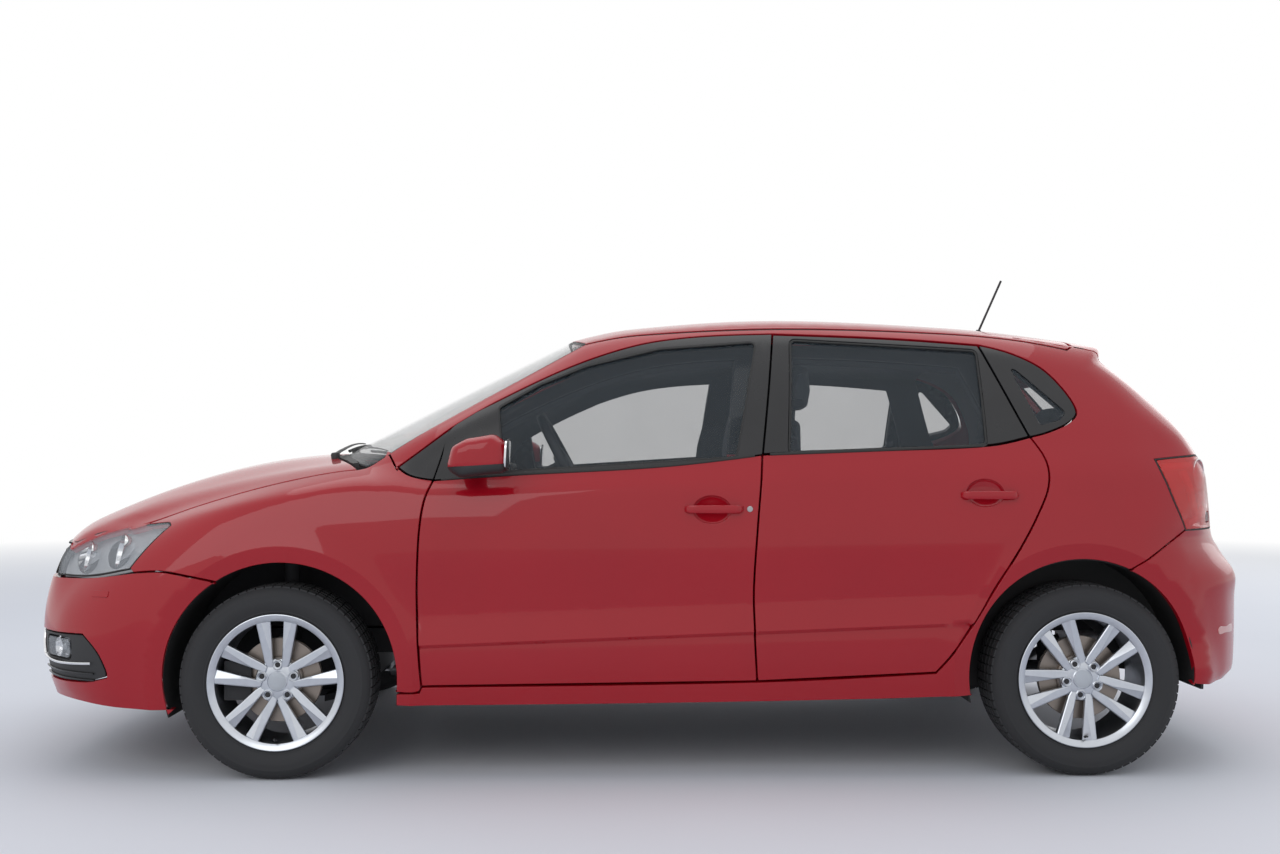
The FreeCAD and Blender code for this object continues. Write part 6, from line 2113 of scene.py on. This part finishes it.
@dataclass
class Cabin:
    """Seats, dashboard, steering wheel, door cards, pillar trims and head lining."""

    body: str = "body_shell"
    driver_y: float = -365.0

    SEAT_PADS = (
        ("seat cushion", ((-140, 452), (-128, 498), (-60, 520), (150, 498), (330, 490), (350, 420),
                          (-100, 404)), (-150, 150), (26, 24)),
        ("seat back", ((318, 500), (372, 700), (428, 950), (448, 1076), (486, 1110), (520, 1092),
                       (522, 980), (470, 700), (430, 480)), (-158, 158), (24, 26)),
        ("head restraint", ((452, 1136), (460, 1215), (476, 1272), (512, 1290), (548, 1272), (556, 1200),
                            (545, 1136)), (-128, 128), (26, 28)))
    """Each pad of a front seat: side outline, its two ends, crown and corner rounding."""
    BOLSTERS = (
        ("cushion bolster", ((-112, 430), (-112, 496), (-50, 532), (180, 526), (292, 520), (330, 420)),
         (132, 244), (22, 24)),
        ("back bolster", ((300, 545), (345, 700), (398, 940), (436, 1040), (490, 1050), (512, 960),
                          (462, 700), (420, 500), (340, 480)), (136, 240), (22, 26)))
    BENCH_CUSHION = ((800, 400), (790, 470), (815, 512), (1000, 508), (1130, 486), (1160, 430),
                     (1120, 360))
    BENCH_BACK = ((1205, 500), (1330, 1010), (1352, 1040), (1390, 1036), (1392, 1000), (1300, 520),
                  (1260, 470))
    BENCH_REST = ((1346, 1040), (1362, 1122), (1396, 1148), (1428, 1128), (1402, 1028))
    DASHBOARD = ((-872, 650), (-872, 880), (-800, 918), (-690, 932), (-560, 928), (-462, 898),
                 (-448, 850), (-470, 770), (-540, 690), (-660, 640))
    HOOD = ((-620, 880), (-604, 930), (-540, 956), (-470, 964), (-436, 954), (-440, 930),
            (-500, 905), (-560, 880))
    OPENINGS = (
        (((-640, 800, 330), (-640, 800, 900)),
         ((-640, 800, 900), (-560, 700, 1040), (-430, 640, 1130), (-190, 600, 1240), (40, 587, 1306),
          (330, 585, 1330)),
         ((330, 585, 1330), (288, 790, 960), (276, 820, 600), (286, 820, 340)),
         ((286, 820, 340), (-640, 800, 330))),
        (((390, 820, 345), (384, 820, 600), (404, 790, 980), (450, 585, 1336)),
         ((450, 585, 1336), (780, 590, 1322), (1040, 600, 1300)),
         ((1040, 600, 1300), (1110, 700, 1120), (1150, 775, 985), (1150, 800, 880)),
         ((1150, 800, 880), (1060, 830, 690), (900, 830, 480), (838, 815, 360)),
         ((838, 815, 360), (390, 820, 345))))
    """The clear opening of each door, front and rear, as runs of its outline."""
    ROOF_LINING = (((-230, 0, 1384), (-215, 350, 1370), (-150, 545, 1340)),
                   ((-150, 545, 1340), (400, 545, 1400), (1370, 545, 1372)),
                   ((1370, 545, 1372), (1370, 0, 1390)))
    PILLARS = (
        ((-800, 690, 1000), (-602, 640, 1125), (-340, 592, 1273), (-196, 560, 1340), (400, 560, 1400),
         (1330, 560, 1376)),
        ((1330, 560, 1376), (1370, 610, 1330), (1490, 650, 1190), (1550, 690, 1050)),
        ((1550, 690, 1050), (1400, 740, 1020)),
        ((1400, 740, 1020), (1380, 700, 1130), (1280, 640, 1280), (1080, 600, 1348), (411, 587, 1384),
         (47, 590, 1358), (-203, 604, 1285), (-468, 645, 1160), (-640, 730, 1050), (-760, 770, 960)),
        ((-760, 770, 960), (-800, 690, 1000)))

    def build(self) -> None:
        """Make everything inside the glass."""
        self.seats()
        self.bench()
        self.dashboard()
        self.steering_wheel()
        self.linings()

    @staticmethod
    def pad(outline: Sequence[tuple[float, float]], ends: tuple[float, float], crown: float,
            radius: float) -> Mould:
        """A crowned cushion: a side-view outline carried across, drawn in towards its ends.

        Args:
            outline: Corners (x, z).
            ends: Where it starts and ends across the car.
            crown: How far the outline is drawn in at the ends.
            radius: Rounding of the outline's corners.
        Returns:
            The cushion.
        """
        loop = rounded_loop(np.array(outline, float), radius, 14.0)
        if signed_area(loop) < 0:
            loop = loop[::-1]
        sections = []
        for t in (0.0, 0.012, 0.04, 0.09, 0.17, 0.3, 0.5, 0.7, 0.83, 0.91, 0.96, 0.988, 1.0):
            edge = 1.0 - min(1.0, min(t, 1.0 - t) / 0.16)
            inset = crown * (edge ** 2.4) + 0.22 * crown * (2 * abs(t - 0.5)) ** 2
            flat = offset_loop(loop, inset)
            sections.append(beside(flat, ends[0] + (ends[1] - ends[0]) * t))
        return Mould().loft(sections)

    def seats(self) -> None:
        """Both front seats: cushion, back, bolsters, head restraint and its posts."""
        middle = -self.driver_y
        for side in Side:
            for name, outline, ends, shape in self.SEAT_PADS:
                node = ("front_seats",) if name == "seat cushion" and side is Side.RIGHT else ()
                pad = self.pad(outline, (middle + ends[0], middle + ends[1]), *shape)
                self.soft(pad.moved(side=side.value), f"{name}_{side.word}", Finishes.SEAT, *node)
            for name, outline, (near, far), shape in self.BOLSTERS:
                for word, ends in (("outer", (near, far)), ("inner", (-far, -near))):
                    pad = self.pad(outline, (middle + ends[0], middle + ends[1]), *shape)
                    self.soft(pad.moved(side=side.value), f"{name}_{word}_{side.word}", Finishes.BOLSTER)
            frame_parts = Mould()
            for y in (-60, 60):
                frame_parts.tube(((498, middle + y, 1080), (502, middle + y, 1150)), 6.5, 12)
            for y in (-180, 180):
                frame_parts.block((140, middle + y, 330), (430, 26, 120), 8)
                frame_parts.block((140, middle + y, 268), (470, 40, 14), 5)
            for y in (-232, 232):
                frame_parts.block((200, middle + y, 420), (470, 22, 70), 9)
            fit_mould(frame_parts.moved(side=side.value), f"seat_frame_{side.word}", Finishes.CABIN,
                      self.body)

    def soft(self, pad: Mould, name: str, finish: object, *nodes: str) -> None:
        """Fit one padded piece of a seat.

        Args:
            pad: Its form.
            name: Its name.
            finish: Its cloth.
            nodes: The CAD node that it replaces, if any.
        """
        fit_mould(pad, name, finish, self.body, *nodes, angle=70.0)

    def bench(self) -> None:
        """The rear seat: two cushions, a split back and its head restraints."""
        cushion, back, rest = self.BENCH_CUSHION, self.BENCH_BACK, self.BENCH_REST
        for name, outline, ends, shape, node in (
                ("rear cushion left", cushion, (-590, -4), (24, 24), ("rear_seat",)),
                ("rear cushion right", cushion, (4, 590), (24, 24), ()),
                ("rear back wide", back, (-432, 70), (20, 20), ()),
                ("rear back narrow", back, (76, 432), (20, 20), ()),
                ("rear restraint left", rest, (-455, -230), (20, 18), ()),
                ("rear restraint right", rest, (230, 455), (20, 18), ())):
            self.soft(self.pad(outline, ends, *shape), name, Finishes.SEAT, *node)

    def dashboard(self) -> None:
        """The dashboard with its instrument hood, vents, screenless console and column."""
        shell = self.pad(self.DASHBOARD, (-628, 628), 10, 26)
        hood = self.pad(self.HOOD, (self.driver_y - 168, self.driver_y + 168), 26, 10)
        fit_mould(shell, "dashboard", Finishes.CABIN, self.body, "dashboard", angle=50.0)
        console = ((-560, 570), (-462, 868), (-444, 866), (-468, 690), (-520, 560))
        stack = self.pad(console, (-112, 112), 6, 8)
        stack.add(hood)
        stack.tube(((-520, self.driver_y, 812), (-300, self.driver_y, 930)), (34, 27), 20)
        for y in (-560, -150, 150, 560):
            vent = ((-472, 846), (-460, 892), (-444, 892), (-444, 840))
            stack.add(self.pad(vent, (y - 48, y + 48), 5, 5))
        fit_mould(stack, "instrument hood", Finishes.DARK, self.body, angle=45.0)
        dials = Mould()
        for y in (-70, 70):
            dials.turn(((0, 0), (52, 0), (54, 4), (57, 4), (58, -4), (0, -4)),
                       (-458, self.driver_y + y, 900), (0.94, 0, 0.34), 40)
        fit_mould(dials, "dial rims", Finishes.CHROME, self.body)
        knobs = Mould()
        for y in (-55, 0, 55):
            knobs.turn(((0, -6), (17, -6), (17, 8), (15, 11), (0, 11)), (-474, y, 724),
                       (0.96, 0, -0.28), 28)
        gear = Mould().tube(((-330, 0, 390), (-336, 0, 470), (-350, 0, 540)), (7, 6.5, 6), 12)
        gear.turn(((0, -34), (9, -34), (15, -18), (22, 4), (19, 18), (9, 24), (0, 25)),
                  (-352, 0, 556), (-0.18, 0, 1), 28)
        gear.loft([lay(rounded_box(2 * w, 1.3 * w, w * 0.5), (-330, 0, z), (1, 0, 0), (0, 1, 0))
                   for z, w in ((372, 62), (392, 56), (412, 36), (430, 24), (446, 12), (458, 8))])
        fit_mould(knobs.add(gear), "gear lever and knobs", Finishes.DARK, self.body, angle=40.0)

    def steering_wheel(self) -> None:
        """The wheel: padded grip, three arms and the cover of the hub, square to the column."""
        lean = math.radians(62)
        axis = (math.sin(lean), 0.0, math.cos(lean))
        centre = np.array((-262.0, self.driver_y, 950.0))
        right = np.array((0.0, 1.0, 0.0))
        down = np.array((math.cos(lean), 0.0, -math.sin(lean)))
        out = np.array(axis)
        grip = [(185 + 14.6 * math.cos(t), 16.4 * math.sin(t))
                for t in np.linspace(0, 2 * math.pi, 16, endpoint=False)]
        mould = Mould().turn(grip, tuple(centre), axis, 72)
        mould.turn(((0, -30), (40, -30), (64, -16), (68, 2), (58, 12), (30, 17), (0, 18)),
                   tuple(centre), axis, 40)
        mould.turn(((0, -52), (24, -52), (30, -24), (0, -24)), tuple(centre), axis, 24)
        for ray in (right, -right, down):
            wide = np.cross(out, ray)
            loops = [lay(rounded_box(w, 15, 5), centre + ray * r - out * h, wide, out)
                     for r, w, h in ((44, 78, 6), (80, 56, 7), (120, 42, 6), (160, 38, 2), (182, 40, 0))]
            mould.loft(loops)
        fit_mould(mould, "steering wheel", Finishes.DARK, "steering_wheel", "steering_wheel", angle=50.0)

    @staticmethod
    def card_dent(p: Array) -> Array:
        """The long hollow of a door card, behind the arm rest."""
        return -9.0 * np.exp(-((p[:, 2] - 760.0) / 60.0) ** 2)

    @staticmethod
    def hinge_room(p: Array) -> Array:
        """How far the door opening frame steps in by the hinges, where an open door turns inwards."""
        step, top, fade = 38.0, 1120.0, 90.0
        low = np.clip((top - p[:, 2]) / fade, 0.0, 1.0)
        front = np.clip(2.0 - np.abs(p[:, 0] + 650.0) / 75.0, 0.0, 1.0)
        rear = np.clip(2.2 - np.abs(p[:, 0] - 380.0) / 62.0, 0.0, 1.0)
        return -step * low * np.maximum(front, rear)

    def linings(self) -> None:
        """Door cards, pillar and rail trims, the inner frame of the door openings and the head lining."""
        front = traced(FROM_SIDE, FRONT_DOOR_EDGE, BELT_FRONT, PILLAR_LOW, DOOR_BOTTOM[1::-1])
        rear = traced(FROM_SIDE, PILLAR_LOW[::-1], BELT_REAR, REAR_DOOR_EDGE, DOOR_BOTTOM[:0:-1])
        for name, loop, (x0, x1), z, level in (("front", front, (-380, 180), 700.0, -45.0),
                                               ("rear", rear, (430, 880), 720.0, -39.0)):
            card = panel(loop, depth=16.0, step=34.0, gap=16.0, level=level, edge=5.0, dent=self.card_dent)
            fit_pair(card, f"{name} door card", Finishes.CABIN, f"door_{name}_{{}}")
            run = line(((x0, 800, z), ((x0 + x1) / 2, 800, z + 6), (x1, 800, z + 10)), spacing=30.0)
            rest = Mould().bar(run, rounded_box(66.0, 44.0, 16.0, 3) - (0, 74.0))
            fit_sides(rest, f"{name} arm rest", Finishes.DARK, f"door_{name}_{{}}", angle=50.0)
        outer = traced(FROM_SIDE, FRONT_DOOR_EDGE, FRONT_FRAME_EDGE, REAR_DOOR_TOP, REAR_DOOR_BACK,
                       REAR_DOOR_EDGE, DOOR_BOTTOM[::-1])
        holes = [traced(FROM_SIDE, *runs) for runs in self.OPENINGS]
        for name, finish, depth, gap, level, edge in (
                ("door opening frame", Finishes.JAMB, 7.0, -34.0, -66.0, 3.0),
                ("door opening trim", Finishes.CABIN, 30.0, -36.0, -74.0, 5.0)):
            frame_shape = panel(outer, holes, depth=depth, step=24.0, gap=gap, level=level, edge=edge,
                                dent=self.hinge_room)
            fit_pair(frame_shape, name, finish, self.body)
        roof = across(traced(FROM_ABOVE, *self.ROOF_LINING))
        lining = panel(roof, view=FROM_ABOVE, depth=5.0, step=60.0, level=-32.0, gap=4.0, edge=2.0)
        fit_shape(lining, "head lining", Finishes.LINING, self.body)
        pillar = traced(FROM_SHOULDER, *self.PILLARS)
        trim = panel(pillar, view=FROM_SHOULDER, depth=4.0, step=40.0, level=-48.0, gap=1.0, edge=1.5)
        fit_pair(trim, "pillar trim", Finishes.LINING, self.body)


@dataclass
class Studio:
    """Floor, lamps, backdrop and the camera that matches the photograph."""

    place: Point = (-95.6, -4782.7, 977.0)
    focal: float = 36.5625
    yaw: float = 1.063
    pitch: float = 1.326
    fade_from: float = 3.5
    fade_over: float = 9.0
    sky: Colour = (0.82, 0.88, 1.0)
    sky_light: float = 0.72

    LAMPS = (("over", (0, 0.8, 6.5), (0, 0, 0.6), (8.0, 5.0), 110),
             ("key", (-4.0, -7.5, 4.6), (0, 0, 0.7), (7.0, 4.5), 130),
             ("fill", (6.5, 5.0, 4.0), (0, 0, 0.6), (7.0, 5.0), 80))
    """Each soft box: place, aim, width and height in metres, power in watts."""

    def build(self) -> None:
        """Set the stage."""
        self.camera()
        self.floor()
        self.lamps()
        self.world()

    def camera(self) -> None:
        """The camera of the photograph."""
        data = bpy.data.cameras.new("camera")
        data.lens = self.focal
        data.sensor_width = 36.0
        data.clip_end = 200.0
        camera = bpy.data.objects.new("camera", data)
        bpy.context.scene.collection.objects.link(camera)
        camera.location = Vector(self.place) * MM
        camera.rotation_euler = Euler((math.radians(90 + self.pitch), 0.0, math.radians(-self.yaw)))
        bpy.context.scene.camera = camera

    def floor(self) -> None:
        """A plain pale floor."""
        mesh = bpy.data.meshes.new("floor")
        reach = 40.0
        corners = [(-reach, -reach, 0), (reach, -reach, 0), (reach, reach, 0), (-reach, reach, 0)]
        mesh.from_pydata(corners, [], [(0, 1, 2, 3)])
        piece = bpy.data.objects.new("floor", mesh)
        bpy.context.scene.collection.objects.link(piece)
        sheet = Sheet("pale floor")
        cloud = sheet.noise(0.8)
        reach = sheet.node("ShaderNodeVectorMath", {"operation": "LENGTH"}, {0: sheet.place()}, 1)
        away = ((reach - self.fade_from) * (1.0 / self.fade_over)).clamp()
        seen = self.seen_rays(sheet)
        mesh.materials.append(sheet.surface({
            "Base Color": sheet.blend(cloud, (0.74, 0.74, 0.75), (0.78, 0.78, 0.79)), "Roughness": 0.85},
            away * away * seen))

    @staticmethod
    def seen_rays(sheet: Sheet) -> Sum:
        """One for rays from the camera, off a glossy surface or through a clear one."""
        rays = [sheet.node("ShaderNodeLightPath", {}, {}, name)
                for name in ("Is Camera Ray", "Is Glossy Ray", "Is Transmission Ray")]
        return (rays[0] + rays[1] + rays[2]).clamp()

    def lamps(self) -> None:
        """Soft boxes over and beside the car."""
        for name, spot, aim, size, power in self.LAMPS:
            data = bpy.data.lights.new(name, "AREA")
            data.shape = "RECTANGLE"
            data.size, data.size_y = size
            data.energy = power
            lamp = bpy.data.objects.new(name, data)
            bpy.context.scene.collection.objects.link(lamp)
            lamp.location = spot
            lamp.rotation_euler = (Vector(spot) - Vector(aim)).to_track_quat("Z", "Y").to_euler()

    def world(self) -> None:
        """A soft pale sky, white to the camera."""
        world = bpy.data.worlds.new("sky")
        bpy.context.scene.world = world
        sheet = Sheet("sky", world)
        light = sheet.node("ShaderNodeBackground", {},
                           {"Color": (*self.sky, 1.0), "Strength": self.sky_light})
        white = sheet.node("ShaderNodeBackground", {}, {"Color": (1.0, 1.0, 1.0, 1.0)})
        seen = sheet.node("ShaderNodeMixShader", {}, {0: self.seen_rays(sheet), 1: light, 2: white})
        sheet.node("ShaderNodeOutputWorld", {}, {"Surface": seen}, None)
        bpy.context.scene.view_settings.view_transform = "Standard"


CAD_FINISHES = {
    "floor_pan": Finishes.UNDER, "front_subframe": Finishes.UNDER, "rear_axle": Finishes.UNDER,
    "exhaust": Finishes.STEEL, "engine": Finishes.IRON, "cowl": Finishes.BLACK, "grille": Finishes.BLACK,
    "lower_grille": Finishes.BLACK, "head_lamps": Finishes.LENS, "tail_lamps": Finishes.RED_LENS,
    "dashboard": Finishes.CABIN, "steering_wheel": Finishes.CABIN, "front_seats": Finishes.SEAT,
    "rear_seat": Finishes.SEAT, "antenna": Finishes.BLACK, "mirror": Finishes.RED, "rim": Finishes.ALLOY,
    "tyre": Finishes.TYRE, "knuckle": Finishes.UNDER,
}
"""Finish of each CAD node that is carried over, by the start of its name."""


def dress_nodes() -> None:
    """Give every CAD node that still shows its own finish."""
    for name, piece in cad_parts.items():
        for start, finish in CAD_FINISHES.items():
            if name.startswith(start) and not piece.hide_render:
                piece.data.materials.clear()
                piece.data.materials.append(Finishes.get(finish))


def main() -> None:
    """Build the car piece by piece."""
    logging.basicConfig(level=logging.INFO, format="%(name)s: %(message)s")
    Studio().build()
    for assembly in (BodyPanels(), Doors(), Glazing(), Wheels(), Mirrors(), Lamps(), Grilles(), Fittings(),
                     Cabin()):
        assembly.build()
    dress_nodes()


if __name__ == "__main__":
    main()
